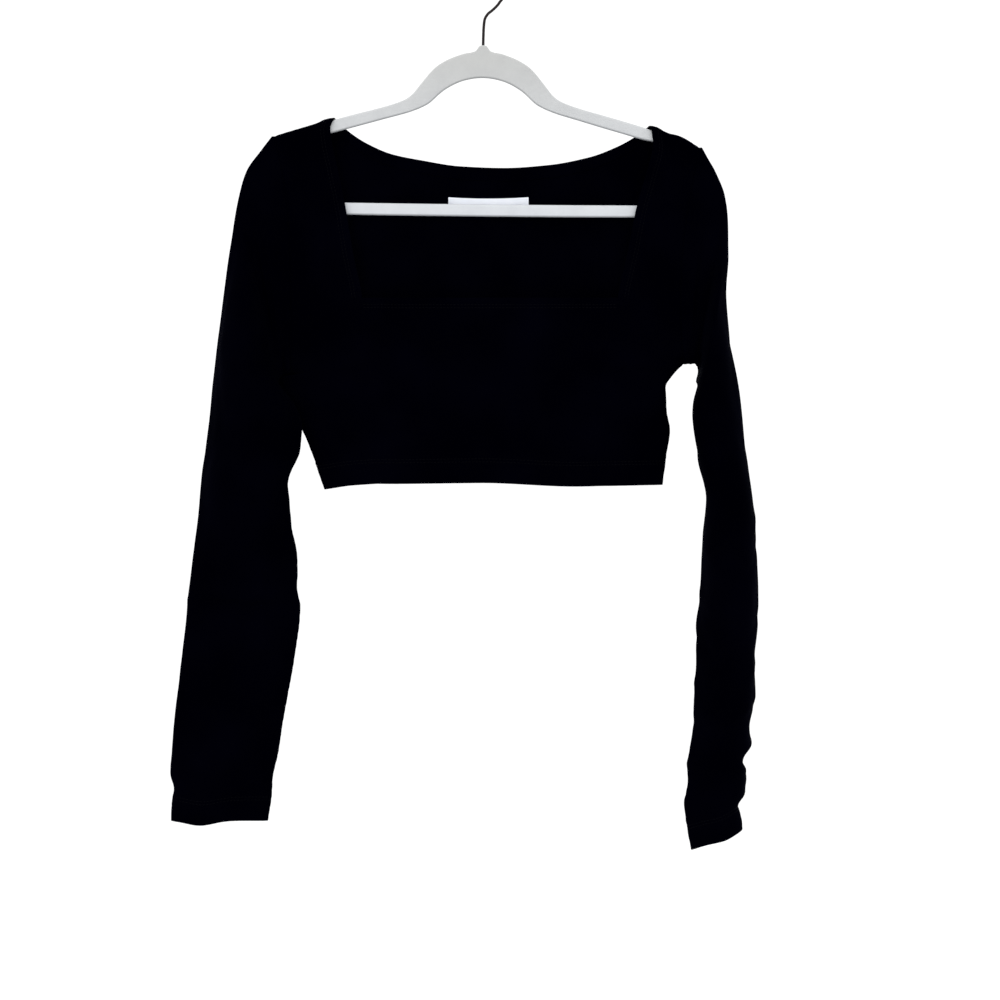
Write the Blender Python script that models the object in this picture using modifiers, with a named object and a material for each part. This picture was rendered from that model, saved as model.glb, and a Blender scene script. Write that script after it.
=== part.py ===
"""A long-sleeved, square-necked crop top of thin black jersey on a slim flocked hanger.

The origin is the inner top of the hook's loop, where the hanger hangs.  +Z is up and the front faces -Y.
Right and left are the wearer's, so the right sleeve lies at -X.  Drops are measured down from the origin.
Tables and sizes are in millimetres, and their columns are named in their first line.
"""

import math

import bmesh
import bpy
import numpy as np

MM = 0.001

# Cloth
WALL = 1.2
SEAM_GAP = 0.3
ARMHOLE_GAP = 0.45
ARMHOLE_FULLNESS = 0.94  # how thick the body is at the armhole seam, as a share of its own half thickness
OVER_ARM = 5.0  # the height of the rounded fold over the hanger's arms
RISE_FADES_AT = 0.25  # the level where the shoulder seams' bow has gone
HEM_RISES_FROM = 2.3  # the level where the rows start to follow the hem's curve

# Neck label
LABEL_WIDTH = 74.0
LABEL_X = 5.0
LABEL_TOP = 216.3
LABEL_HEIGHT = 16.0
LABEL_THICKNESS = 1.0
LABEL_GAP = 0.4  # between the label and the back panel's wall

# Hanger
TILT = math.radians(0.6)
ARCH_SHIFT = 0.9  # how far the arch is moulded off centre, towards the wearer's left
ARCH_REACH = (60.0, 120.0)  # from the middle, where that starts to fade out and where it has gone
HANGER_THICKNESS = 5.5
HANGER_EDGE = 1.9
CORNER_SHY = 0.3  # how far the middle of a rounded corner stands back, as a share of its radius
WIRE_RADIUS = 1.3
HOOK_RADIUS = 20.8  # inside the loop
HOOK_ENDS_AT = math.radians(212)
BORE_DEPTH = 13.0
BORE_CLEARANCE = 0.3
BORE_CUTS_ABOVE = 10.0  # how far the bore's cutter stands out of the boss
BOSS_TOP = 76.2


def table(names, *rows):
    """A small table as a dictionary of columns."""
    return dict(zip(names.split(), np.array(rows, float).T))


# The armhole seams from shoulder (level 0) to armpit (level 2), then the side seams to the hem (level 3).
EDGES = table(
    "level right_x right_drop left_x left_drop",
    (0.00, -191.4, 159.3, 198.7, 169.7),
    (0.10, -188.3, 174.5, 196.0, 184.5),
    (0.30, -182.2, 207.5, 190.8, 212.5),
    (0.50, -179.0, 238.0, 186.3, 241.0),
    (0.75, -177.2, 275.0, 182.6, 277.0),
    (1.00, -177.1, 310.6, 181.7, 310.6),
    (1.50, -177.6, 347.4, 182.6, 342.8),
    (2.00, -176.6, 380.5, 184.0, 369.9),
    (2.04, -183.4, 383.3, 180.6, 372.4),
    (2.08, -188.0, 387.0, 177.2, 375.8),
    (2.14, -188.0, 392.0, 172.8, 381.8),
    (2.28, -181.0, 405.0, 168.0, 391.5),
    (2.44, -169.6, 423.5, 168.6, 412.0),
    (2.60, -161.0, 440.5, 171.4, 430.0),
    (2.80, -153.8, 461.0, 167.9, 455.0),
    (3.00, -145.4, 484.9, 164.2, 480.8),
)
# The sides of the square neck from shoulder to corner, and below them the lines that carry on to the hem.
NECK_SIDES = table(
    "level right_x right_drop left_x left_drop",
    (0.00, -136.6, 143.0, 151.6, 150.4),
    (0.03, -138.6, 147.5, 154.4, 154.2),
    (0.06, -140.3, 152.4, 155.2, 158.5),
    (0.12, -139.4, 161.5, 156.2, 167.0),
    (0.30, -133.4, 191.0, 149.0, 197.4),
    (0.50, -127.0, 221.4, 141.7, 223.2),
    (0.75, -119.6, 265.0, 132.6, 267.0),
    (1.00, -110.9, 308.8, 123.7, 308.8),
    (2.00, -106.0, 376.0, 118.0, 372.0),
    (3.00, -98.0, 481.0, 108.0, 479.5),
)
BACK_NECK = table(
    "x drop",
    (-136.6, 143.0),
    (-122.0, 156.5),
    (-106.5, 166.4),
    (-84.0, 176.0),
    (-58.0, 181.4),
    (-20.0, 187.2),
    (20.0, 188.7),
    (60.0, 186.0),
    (98.0, 178.8),
    (124.0, 169.0),
    (141.0, 159.5),
    (151.6, 150.4),
)
# How far the shoulder seams bow up over the hanger's arms, from the armhole (across 0) to the neck (1).
SEAM_RISE = table(
    "across right left",
    (0.00, 0.00, 0.00),
    (0.08, 0.00, 0.50),
    (0.18, 0.00, 1.70),
    (0.28, 0.00, 2.40),
    (0.38, 0.00, 2.70),
    (0.50, 0.00, 1.95),
    (0.62, 0.00, 1.00),
    (0.72, 0.25, 1.20),
    (0.83, 1.20, 1.90),
    (0.92, 0.90, 1.50),
    (1.00, 0.00, 0.00),
)
HEM_RISE = table(
    "across rise",
    (0.00, 0.0),
    (0.08, 1.6),
    (0.22, 1.2),
    (0.46, 1.3),
    (0.75, -2.4),
    (1.00, 0.0),
)
# Half the garment's thickness, in front of and behind the hanger's plane.
DEPTHS = table(
    "drop front back",
    (140, 5.4, 5.4),
    (180, 5.8, 6.2),
    (230, 6.6, 8.0),
    (310, 9.0, 9.5),
    (380, 12.0, 10.5),
    (430, 12.5, 11.0),
    (485, 11.0, 12.0),
)
# Each row of the panels.  over_arm and underarm are shares of the depth at the seams that close there.
ROWS = table(
    "level over_arm underarm",
    (0.000, 0.00, 1.00),
    (0.000, 0.50, 1.00),
    (0.008, 0.87, 1.00),
    (0.030, 1.00, 1.00),
    (0.120, 1.00, 1.00),
    (0.300, 1.00, 1.00),
    (0.500, 1.00, 1.00),
    (0.750, 1.00, 1.00),
    (1.000, 1.00, 1.00),
    (1.400, 1.00, 1.00),
    (1.750, 1.00, 1.00),
    (1.900, 1.00, 0.85),
    (1.970, 1.00, 0.45),
    (2.000, 1.00, 0.00),
    (2.035, 1.00, 0.00),
    (2.080, 1.00, 0.00),
    (2.180, 1.00, 0.00),
    (2.320, 1.00, 0.00),
    (2.480, 1.00, 0.00),
    (2.640, 1.00, 0.00),
    (2.820, 1.00, 0.00),
    (3.000, 1.00, 0.00),
)
CORNER_ROW = 8  # the row at the neck's corners
ARMPIT_ROW = 13
# The columns from an edge in to the neck's side, as shares of that width and of the depth there.
EDGE_COLUMNS = table(
    "open_at open_depth closed_at closed_depth",
    (0.00, 0.00, 0.00, 0.00),
    (0.05, 0.15, 0.00, 0.46),
    (0.12, 0.35, 0.03, 0.75),
    (0.24, 0.60, 0.13, 0.93),
    (0.45, 0.85, 0.36, 1.00),
    (0.72, 1.00, 0.66, 1.00),
    (1.00, 1.00, 1.00, 1.00),
)
CENTRE_COLUMNS = (0, 0.003, 0.01, 0.03, 0.09, 0.2, 0.34, 0.5, 0.66, 0.8, 0.91, 0.97, 0.99, 0.997, 1)
FAN_FROM = 0.03  # where across the back the rows leave the shoulder's spacing
FAN_TO = 0.2  # and where they are evenly spaced
LEAST_STEP = 0.006  # the least step between those rows, as a share of the way down to the corners' row
CLOSING_FROM = 1.88  # the level where the armhole's open edge starts to close towards the side seam

# Folds of the body: a ridge, or a trough where height is negative, from one point to another.
FOLDS = table(
    "front from_x from_drop to_x to_drop width height",
    (1, -172, 372, -96, 322, 11, 2.6),
    (1, -170, 392, -80, 372, 10, -2.2),
    (1, -166, 410, -60, 428, 13, 2.0),
    (1, 178, 360, 102, 324, 11, 2.4),
    (1, 172, 384, 88, 376, 10, -2.2),
    (1, 168, 420, 70, 440, 14, 1.8),
    (1, -40, 330, -30, 470, 26, -1.8),
    (1, 46, 340, 62, 474, 22, 1.8),
    (0, -172, 368, -60, 300, 13, 2.4),
    (0, 178, 362, 76, 296, 13, 2.2),
    (0, -60, 250, -80, 470, 22, 2.0),
    (0, 20, 240, 34, 474, 26, -2.2),
    (0, 98, 260, 116, 460, 20, 2.0),
)

# Rings of a sleeve from just past the armhole down to the cuff.  outer and inner are the two sides of its
# outline from the front, flat is its width laid flat, half its half thickness, turn how far its inner side
# swings forward in degrees, and ahead how far its two sides stand in front of the hanger's plane.
RIGHT_SLEEVE = table(
    "outer_x outer_drop inner_x inner_drop flat half turn ahead",
    (-203.4, 171.8, -182.0, 381.6, 220, 7.5, 0, 0),
    (-217.1, 192.8, -184.6, 382.4, 201.4, 8.0, 2, 0),
    (-224.5, 218.6, -186.6, 383.6, 179, 8.5, 5, 2),
    (-231.7, 255.4, -187.4, 386.0, 158, 9.0, 9, 5),
    (-237.8, 296.8, -185.8, 390.0, 142, 9.5, 13, 8),
    (-242.8, 338.2, -179.8, 398.0, 133, 9.5, 16, 11),
    (-247.5, 380.5, -170.5, 411.0, 128, 9.5, 18, 13),
    (-251.2, 417.0, -165.4, 428.0, 124, 9.0, 18, 12),
    (-255.5, 447.5, -167.0, 449.0, 121, 9.0, 16, 10),
    (-260.0, 479.9, -178.3, 481.7, 119, 8.5, 12, 7),
    (-262.2, 513.0, -175.1, 514.8, 117, 8.5, 8, 4),
    (-267.5, 549.8, -170.4, 549.8, 115, 8.5, 4, 2),
    (-269.6, 570.0, -171.6, 571.0, 114, 8.0, 0, 0),
    (-272.3, 592.1, -167.5, 597.0, 113, 7.5, 0, 0),
    (-275.6, 625.0, -170.8, 626.0, 113, 7.5, 0, 0),
    (-279.7, 660.2, -177.0, 662.0, 111, 7.5, 0, 0),
    (-284.0, 697.0, -183.9, 698.8, 108, 7.0, 0, 0),
    (-286.8, 726.4, -188.0, 728.3, 106, 7.0, 0, 0),
    (-287.9, 746.7, -193.0, 748.5, 102.2, 6.5, 0, 0),
    (-284.5, 760.5, -193.9, 761.4, 98, 6.5, 0, 0),
    (-286.3, 775.5, -196.0, 777.0, 97.6, 6.5, 0, 0),
    (-286.6, 789.3, -198.0, 789.5, 95.4, 6.0, 0, 0),
)
LEFT_SLEEVE = table(
    "outer_x outer_drop inner_x inner_drop flat half turn ahead",
    (207.4, 181.0, 190.0, 370.2, 198, 7.5, 0, 0),
    (215.2, 194.6, 192.6, 370.5, 184, 8.0, 0, 0),
    (222.4, 213.0, 195.3, 371.0, 168, 9.0, -1, -1),
    (225.2, 239.0, 197.3, 372.0, 153, 10.5, -2, -3),
    (225.9, 270.0, 197.6, 374.2, 142, 12.5, -4, -6),
    (224.2, 302.0, 197.8, 378.5, 134, 12.5, -7, -9),
    (226.6, 336.0, 196.6, 386.0, 128, 9.5, -10, -12),
    (229.6, 369.0, 196.4, 397.0, 123, 7.8, -12, -14),
    (233.0, 398.0, 195.8, 411.0, 118, 7.2, -13, -15),
    (237.5, 423.0, 196.0, 428.5, 117, 7.0, -12, -15),
    (242.3, 450.4, 197.3, 452.3, 116, 6.9, -10, -14),
    (249.1, 494.6, 204.0, 496.4, 114, 7.0, -6, -13),
    (252.2, 536.0, 202.5, 537.8, 111, 7.0, -2, -12),
    (254.3, 577.4, 200.2, 579.2, 108, 7.0, 2, -11),
    (253.2, 609.6, 195.7, 611.4, 106, 7.0, 6, -10),
    (249.6, 643.6, 196.9, 645.5, 103, 7.0, 10, -9.4),
    (251.4, 674.0, 193.8, 675.8, 100, 7.0, 13, -8.2),
    (246.2, 704.0, 192.7, 706.5, 98, 7.0, 16, -8.3),
    (247.6, 720.9, 189.7, 723.7, 96, 7.0, 18, -8),
    (239.6, 735.2, 187.8, 739.4, 95, 6.5, 19, -8),
    (243.5, 748.0, 188.3, 753.0, 94, 7.0, 20, -8),
    (240.5, 766.0, 185.0, 773.0, 93, 6.5, 21, -8),
    (237.0, 779.0, 187.0, 789.0, 92, 6.5, 22, -8),
    (238.5, 797.5, 191.7, 815.7, 91, 6.5, 23, -7.7),
)
CURL_SHARPNESS = 3.0  # how much a curled sleeve bends at its middle, against evenly all across
END_ANGLES = (0, 30, 60, 90)  # points round each folded end of a sleeve's section, in degrees
CAP_START = 3.0  # how far the sleeve carries straight on past the armhole's seam
CAP_RINGS = 4  # the rings over which the armhole's own form fades out

# One half of the hanger, from the middle of the arch along the arm, round the tip and back along the bar.
HANGER = table(
    "outside_x outside_drop inside_x inside_drop",
    (0.0, 76.2, 0.0, 106.4),
    (3.0, 76.9, 3.0, 106.5),
    (5.0, 79.4, 5.6, 106.7),
    (6.8, 81.6, 8.2, 107.0),
    (10.4, 82.9, 11.0, 107.5),
    (16.5, 84.0, 15.0, 108.4),
    (24.0, 86.4, 19.5, 109.7),
    (33.0, 90.2, 25.5, 112.2),
    (42.5, 96.2, 31.5, 115.5),
    (48.5, 102.1, 36.3, 118.7),
    (54.0, 108.8, 41.0, 122.7),
    (59.0, 115.2, 45.0, 126.6),
    (64.5, 121.9, 49.5, 130.4),
    (71.0, 126.8, 56.5, 134.2),
    (79.5, 130.4, 67.0, 138.4),
    (93.0, 134.7, 89.8, 145.0),
    (113.6, 140.2, 110.0, 150.8),
    (133.4, 145.7, 130.0, 156.4),
    (151.0, 151.0, 147.0, 161.2),
    (169.0, 157.5, 163.5, 165.8),
    (179.0, 160.9, 171.5, 169.8),
    (187.0, 165.6, 177.0, 173.6),
    (191.8, 171.0, 179.6, 176.8),
    (193.0, 177.5, 180.6, 180.0),
    (191.6, 185.0, 179.8, 184.0),
    (182.5, 212.0, 171.2, 209.0),
    (179.6, 221.5, 168.6, 215.5),
    (175.0, 229.0, 165.0, 220.2),
    (167.0, 233.2, 159.0, 222.2),
    (150.0, 233.2, 150.0, 222.2),
    (75.0, 233.7, 75.0, 222.6),
    (0.0, 233.8, 0.0, 222.8),
)
# The hook's wire from inside the boss to where it joins the loop: a straight stem, then a bend.
STEM = table(
    "x drop",
    (0.9, 89.0),
    (1.0, 72.0),
    (1.2, 62.0),
    (1.5, 57.0),
    (2.1, 52.6),
    (4.9, 47.5),
    (8.2, 44.7),
    (11.3, 41.9),
    (13.9, 39.1),
    (16.0, 36.1),
)
LOOP_STEPS = 20


def flow(table_of, column, at, key="level"):
    """A smooth curve through one column: cubic pieces whose slopes are the harmonic means of both sides."""
    stations, values = table_of[key], table_of[column]
    steps = np.diff(stations)
    rates = np.diff(values) / steps
    slopes = np.empty_like(values)
    slopes[0], slopes[-1] = rates[0], rates[-1]
    both = rates[:-1] * rates[1:]
    total = rates[:-1] + rates[1:]
    slopes[1:-1] = np.where(both > 0, 2 * both / np.where(total == 0, 1, total), 0)
    i = np.clip(np.searchsorted(stations, at, side="right") - 1, 0, len(steps) - 1)
    h = steps[i]
    s = np.clip((at - stations[i]) / h, 0, 1)
    return (
        (1 + 2 * s) * (1 - s) ** 2 * values[i]
        + s * (1 - s) ** 2 * h * slopes[i]
        + s * s * (3 - 2 * s) * values[i + 1]
        + s * s * (s - 1) * h * slopes[i + 1]
    )


def smooth_step(s):
    """0 below 0, 1 above 1, and an even S between."""
    s = np.clip(s, 0, 1)
    return s * s * (3 - 2 * s)


def quarter_round(s):
    """How far a round edge has risen, a share s of its width in from where it starts."""
    return np.sqrt(1 - (1 - np.clip(s, 0, 1)) ** 2)


def fold_height(x, drop, front):
    """The folds at these points of the panel: a bell across each fold's line that fades at both ends."""
    height = np.zeros_like(x)
    for i in np.flatnonzero(FOLDS["front"] == front):
        start = np.array([FOLDS["from_x"][i], FOLDS["from_drop"][i]])
        along = np.array([FOLDS["to_x"][i], FOLDS["to_drop"][i]]) - start
        length = np.hypot(*along)
        along = along / length
        share = ((x - start[0]) * along[0] + (drop - start[1]) * along[1]) / length
        aside = (x - start[0]) * along[1] - (drop - start[1]) * along[0]
        fade = np.exp(-((np.maximum(np.abs(share - 0.5) - 0.3, 0) / 0.25) ** 2))
        height += FOLDS["height"][i] * fade * np.exp(-((aside / FOLDS["width"][i]) ** 2))
    return height


def panel_points(front):
    """Rows down and columns across of a panel's outer face, and each point's share of the full depth.

    Each row runs from the right edge to the neck's right side, across to its left side and to the left
    edge.  On the back, the rows above the neck's corners fan down from the scooped neck edge instead.
    """
    level = ROWS["level"][:, None]
    closing = smooth_step((level - CLOSING_FROM) / (2 - CLOSING_FROM))
    at = EDGE_COLUMNS["open_at"] * (1 - closing) + EDGE_COLUMNS["closed_at"] * closing
    edge = ARMHOLE_FULLNESS * ROWS["underarm"][:, None]
    open_depth = edge + (1 - edge) * EDGE_COLUMNS["open_depth"]
    side_depth = open_depth * (1 - closing) + EDGE_COLUMNS["closed_depth"] * closing
    side_depth[:, :1] = edge
    side_depth = side_depth * ROWS["over_arm"][:, None]

    blocks = {}
    for side in ("right", "left"):
        out_x, out_drop = flow(EDGES, side + "_x", level), flow(EDGES, side + "_drop", level)
        in_x, in_drop = flow(NECK_SIDES, side + "_x", level), flow(NECK_SIDES, side + "_drop", level)
        lift = flow(SEAM_RISE, side, at, "across") * np.clip(1 - level / RISE_FADES_AT, 0, 1)
        blocks[side] = (out_x + (in_x - out_x) * at, out_drop + (in_drop - out_drop) * at - lift)

    across = np.array(CENTRE_COLUMNS)
    right_x, right_drop = (b[:, -1:] for b in blocks["right"])
    left_x, left_drop = (b[:, -1:] for b in blocks["left"])
    middle_x = right_x + (left_x - right_x) * across
    middle_drop = right_drop + (left_drop - right_drop) * across
    middle_depth = np.ones_like(middle_x)
    if not front:
        even = (np.arange(CORNER_ROW + 1) / CORNER_ROW)[:, None]
        beside = (right_drop[: CORNER_ROW + 1] - right_drop[0]) / (right_drop[CORNER_ROW] - right_drop[0])
        beside = np.maximum(beside, LEAST_STEP * even * CORNER_ROW)
        inward = smooth_step((np.minimum(across, 1 - across) - FAN_FROM) / (FAN_TO - FAN_FROM))
        down = even * inward + beside * (1 - inward)
        top_x = middle_x[0]
        top_drop = flow(BACK_NECK, "drop", top_x, "x")
        top = slice(0, CORNER_ROW + 1)
        middle_x[top] = top_x + (middle_x[CORNER_ROW] - top_x) * down
        middle_drop[top] = top_drop + (middle_drop[CORNER_ROW] - top_drop) * down
        seam_drop = middle_drop[0, 0] + (middle_drop[0, -1] - middle_drop[0, 0]) * across
        middle_depth[top] = quarter_round((middle_drop[top] - seam_drop) / OVER_ARM)

    inside = slice(1, -1)
    x = np.hstack([blocks["right"][0], middle_x[:, inside], blocks["left"][0][:, ::-1]])
    drop = np.hstack([blocks["right"][1], middle_drop[:, inside], blocks["left"][1][:, ::-1]])
    share = np.hstack([side_depth, middle_depth[:, inside], side_depth[:, ::-1]])

    hem_share = (x - x[:, :1]) / (x[:, -1:] - x[:, :1])
    rising = smooth_step((level - HEM_RISES_FROM) / (3 - HEM_RISES_FROM))
    drop -= flow(HEM_RISE, "rise", hem_share, "across") * rising
    half_gap = SEAM_GAP / 2
    depth = flow(DEPTHS, "front" if front else "back", drop, "drop") + fold_height(x, drop, front)
    y = half_gap + (depth - half_gap) * share
    return np.stack([x, -y if front else y, -drop], axis=-1)


def material(name, colour, roughness, metallic=0.0):
    """A Principled material with one colour and finish."""
    made = bpy.data.materials.new(name)
    made.use_nodes = True
    shader = made.node_tree.nodes["Principled BSDF"]
    shader.inputs["Base Color"].default_value = (*colour, 1)
    shader.inputs["Roughness"].default_value = roughness
    shader.inputs["Metallic"].default_value = metallic
    return made


def add_mesh(name, points, faces, finish, parts):
    """An object made of points in millimetres and faces, in the parts' collection."""
    mesh = bpy.data.meshes.new(name)
    mesh.from_pydata((points.reshape(-1, 3) * MM).tolist(), [], faces.tolist())
    mesh.materials.append(finish)
    mesh.shade_smooth()
    made = bpy.data.objects.new(name, mesh)
    parts.objects.link(made)
    return made


def grid_faces(rows, columns, closed=False):
    """Four-sided faces between neighbouring rows and columns, round to the first column where closed."""
    row, column = np.mgrid[0 : rows - 1, 0 : columns if closed else columns - 1]
    after = (column + 1) % columns
    corners = (row * columns + column, row * columns + after, (row + 1) * columns + after)
    return np.stack([*corners, (row + 1) * columns + column], axis=-1)


def add_wall(cloth):
    """Gives a face of cloth its thickness, inwards."""
    wall = cloth.modifiers.new("wall", "SOLIDIFY")
    wall.thickness = WALL * MM
    wall.offset = -1


def make_panel(name, front, finish, parts):
    """The front or the back: one cloth from the shoulder seams to the hem."""
    points = panel_points(front)
    faces = grid_faces(*points.shape[:2])
    if front:
        first = len(EDGE_COLUMNS["open_at"]) - 1
        kept = np.ones(faces.shape[:2], bool)
        kept[:CORNER_ROW, first : first + len(CENTRE_COLUMNS) - 1] = False
        faces = faces[kept]
        faces = faces[:, ::-1]
    panel = add_mesh(name, points, faces.reshape(-1, 4), finish, parts)
    clean = bmesh.new()
    clean.from_mesh(panel.data)
    loose = [v for v in clean.verts if not v.link_faces]
    bmesh.ops.delete(clean, geom=loose, context="VERTS")
    clean.to_mesh(panel.data)
    clean.free()
    add_wall(panel)
    return points


def armhole_ring(front, back, column, outward, away):
    """The armhole's edge round both panels, moved away from them in their own plane."""
    rows = slice(0, ARMPIT_ROW + 1)
    halves = []
    for panel in (front, back):
        half = panel[rows, column].copy()
        half[0, 1] = half[-1, 1] = 0
        along = np.gradient(half[:, [0, 2]], axis=0)
        along[0] = along[1] = along[2]
        along /= np.linalg.norm(along, axis=1, keepdims=True)
        half[:, 0] -= outward * along[:, 1] * away
        half[:, 2] += outward * along[:, 0] * away
        halves.append(half)
    return np.vstack([halves[0], halves[1][-2:0:-1]])


def curled_section(count, flat, half, turn, curl):
    """A flattened tube's section, curled forward at its middle and turned: points aside and ahead.

    The tube's middle line keeps its length, its slope runs from +curl/2 to -curl/2 along it, and the
    section's points lie half a thickness off it on both sides and round both of its ends.
    """
    reach = (flat - math.pi * half) / 2
    fine = np.linspace(-1, 1, 401)
    slope = curl / 2 * np.tanh(CURL_SHARPNESS * fine) / math.tanh(CURL_SHARPNESS)
    steps = (slope[1:] + slope[:-1]) / 2
    aside = np.hstack([0, np.cumsum(np.cos(steps))]) * reach * 2 / 400
    ahead = np.hstack([0, np.cumsum(-np.sin(steps))]) * reach * 2 / 400
    aside -= aside[-1] / 2

    ends = len(END_ANGLES)
    at = np.hstack([np.full(ends, -1), np.linspace(-1, 1, count - 2 * ends + 2)[1:-1], np.full(ends, 1)])
    round_end = np.radians(END_ANGLES)
    rise = np.full(count, 1.0)
    past = np.zeros(count)
    rise[:ends], rise[-ends:] = np.sin(round_end), np.sin(round_end[::-1])
    past[:ends], past[-ends:] = -np.cos(round_end), np.cos(round_end[::-1])
    here = np.interp(at, fine, slope)
    middle = np.stack([np.interp(at, fine, aside), np.interp(at, fine, ahead)], 1)
    run = np.stack([np.cos(here), -np.sin(here)], 1)
    out = np.stack([np.sin(here), np.cos(here)], 1)
    front = middle + half * (past[:, None] * run + rise[:, None] * out)
    back = middle + half * (past[:, None] * run - rise[:, None] * out)
    ring = np.vstack([front, back[-2:0:-1]])
    c, s = math.cos(turn), math.sin(turn)
    return ring @ np.array([[c, s], [-s, c]])


def fitted_section(count, width, flat, half, turn):
    """The section curled just so far that from the front it is as wide as the sleeve's outline."""
    low, high = 0.0, math.pi
    for _ in range(24):
        curl = (low + high) / 2
        ring = curled_section(count, flat, half, turn, curl)
        if np.ptp(ring[:, 0]) > width:
            low = curl
        else:
            high = curl
    ring[:, 0] -= (ring[:, 0].max() + ring[:, 0].min()) / 2
    return ring


def sleeve_points(rings, armhole, start):
    """Every ring of a sleeve, each in the plane through its two sides and square to the front view."""
    outer, inner = armhole[0], armhole[ARMPIT_ROW]
    level = (inner - outer) / np.linalg.norm(inner - outer)
    along = (armhole - (outer + inner) / 2) @ level / np.linalg.norm(inner - outer)
    bow = (armhole - outer) @ np.array([-level[2], 0, level[0]])
    made = [armhole, start]
    for i in range(len(rings["flat"])):
        row = {name: column[i] for name, column in rings.items()}
        outer = np.array([row["outer_x"], 0, -row["outer_drop"]])
        inner = np.array([row["inner_x"], 0, -row["inner_drop"]])
        width = np.linalg.norm(inner - outer)
        level = (inner - outer) / width
        square = np.array([-level[2], 0, level[0]])
        turn = math.radians(row["turn"])
        section = fitted_section(ARMPIT_ROW + 1, width, row["flat"], row["half"], turn)
        own = smooth_step((i + 1) / CAP_RINGS)  # the share of the sleeve's own section, against the armhole's
        aside = section[:, 0] * own + along * width * (1 - own)
        ahead = (section[:, 1] + row["ahead"]) * own - armhole[:, 1] * (1 - own)
        ring = (outer + inner) / 2 + aside[:, None] * level + (bow * (1 - own) ** 2)[:, None] * square
        ring[:, 1] = -ahead
        made.append(ring)
    return np.stack(made)


def make_sleeve(name, rings, armhole, start, finish, parts):
    """A sleeve: a soft tube from the armhole's seam to the open cuff."""
    points = sleeve_points(rings, armhole, start)
    faces = grid_faces(*points.shape[:2], closed=True).reshape(-1, 4)
    if armhole[0, 0] < 0:
        faces = faces[:, ::-1]
    sleeve = add_mesh(name, points, faces, finish, parts)
    add_wall(sleeve)


def make_label(back, finish, parts):
    """The neck label, on the inside of the back panel and as curved as the panel is there."""
    x = LABEL_X + np.linspace(-0.5, 0.5, 7) * LABEL_WIDTH
    drop = LABEL_TOP + np.linspace(0, 1, 3) * LABEL_HEIGHT
    x, drop = np.meshgrid(x, drop)
    depth = flow(DEPTHS, "back", drop, "drop") + fold_height(x, drop, 0)
    y = depth - WALL - LABEL_GAP - LABEL_THICKNESS
    points = np.stack([x, y, -drop], axis=-1)
    faces = grid_faces(*x.shape).reshape(-1, 4)[:, ::-1]
    label = add_mesh("neck_label", points, faces, finish, parts)
    wall = label.modifiers.new("wall", "SOLIDIFY")
    wall.thickness = LABEL_THICKNESS * MM
    wall.offset = -1


def make_hanger_body(finish, parts, cutters, tilt):
    """Arms, arch and bar: a rounded bar's section carried round the whole frame, bored for the hook."""
    sides = ("outside_x", "outside_drop", "inside_x", "inside_drop")
    half = np.stack([HANGER[side] for side in sides], 1)
    other = half[-2:0:-1] * (-1, 1, -1, 1)
    frame = np.vstack([half, other])
    fades_from, gone_at = ARCH_REACH
    near = 1 - smooth_step((np.abs(frame[:, [0, 2]]) - fades_from) / (gone_at - fades_from))
    frame[:, [0, 2]] += ARCH_SHIFT * near
    outside = np.stack([frame[:, 0], np.zeros(len(frame)), -frame[:, 1]], 1)
    inside = np.stack([frame[:, 2], np.zeros(len(frame)), -frame[:, 3]], 1)
    middle = (outside + inside) / 2
    height = np.linalg.norm(outside - inside, axis=1, keepdims=True) / 2
    up = (outside - inside) / (2 * height)
    thick = HANGER_THICKNESS / 2
    corner = HANGER_EDGE
    ring = []
    for side, sign in ((1, 1), (1, -1), (-1, -1), (-1, 1)):
        shy = CORNER_SHY * corner
        steps = ((thick, corner), (thick - shy, shy), (thick - corner, 0.0))
        for depth, back in steps if side * sign > 0 else steps[::-1]:
            ring.append(middle + side * up * (height - back) + np.array([0, sign * depth, 0]))
    points = np.stack(ring, axis=1)
    rows, columns = points.shape[:2]
    faces = grid_faces(rows + 1, columns, closed=True).reshape(-1, 4) % (rows * columns)
    body = add_mesh("hanger_body", points, faces, finish, parts)
    body.parent = tilt

    length = BORE_DEPTH + BORE_CUTS_ABOVE
    bpy.ops.mesh.primitive_cylinder_add(
        vertices=12,
        radius=(WIRE_RADIUS + BORE_CLEARANCE) * MM,
        depth=length * MM,
        location=(STEM["x"][0] * MM, 0, (length / 2 - BOSS_TOP - BORE_DEPTH) * MM),
    )
    bore = bpy.context.object
    bore.name = "hook_bore"
    bore.hide_render = True
    bore.display_type = "WIRE"
    for holder in bore.users_collection:
        holder.objects.unlink(bore)
    cutters.objects.link(bore)
    bore.parent = tilt
    cut = body.modifiers.new("hook_bore", "BOOLEAN")
    cut.object = bore
    cut.operation = "DIFFERENCE"


def make_hook(finish, parts, tilt):
    """The hook: one wire, its stem in the boss, bent aside and round into the loop."""
    centre_drop = HOOK_RADIUS
    radius = HOOK_RADIUS + WIRE_RADIUS
    stem = np.stack([STEM["x"], STEM["drop"]], 1)
    first = math.atan2(centre_drop - stem[-1, 1], stem[-1, 0])
    angles = np.linspace(first, HOOK_ENDS_AT, LOOP_STEPS + 1)[1:]
    loop = np.stack([radius * np.cos(angles), centre_drop - radius * np.sin(angles)], 1)
    route = np.vstack([stem, loop])
    curve = bpy.data.curves.new("hanger_hook", "CURVE")
    curve.dimensions = "3D"
    curve.bevel_depth = WIRE_RADIUS * MM
    curve.bevel_resolution = 2
    curve.use_fill_caps = True
    curve.materials.append(finish)
    wire = curve.splines.new("POLY")
    wire.points.add(len(route) - 1)
    for point, (x, drop) in zip(wire.points, route):
        point.co = (x * MM, 0, -drop * MM, 1)
    hook = bpy.data.objects.new("hanger_hook", curve)
    parts.objects.link(hook)
    hook.parent = tilt


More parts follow.
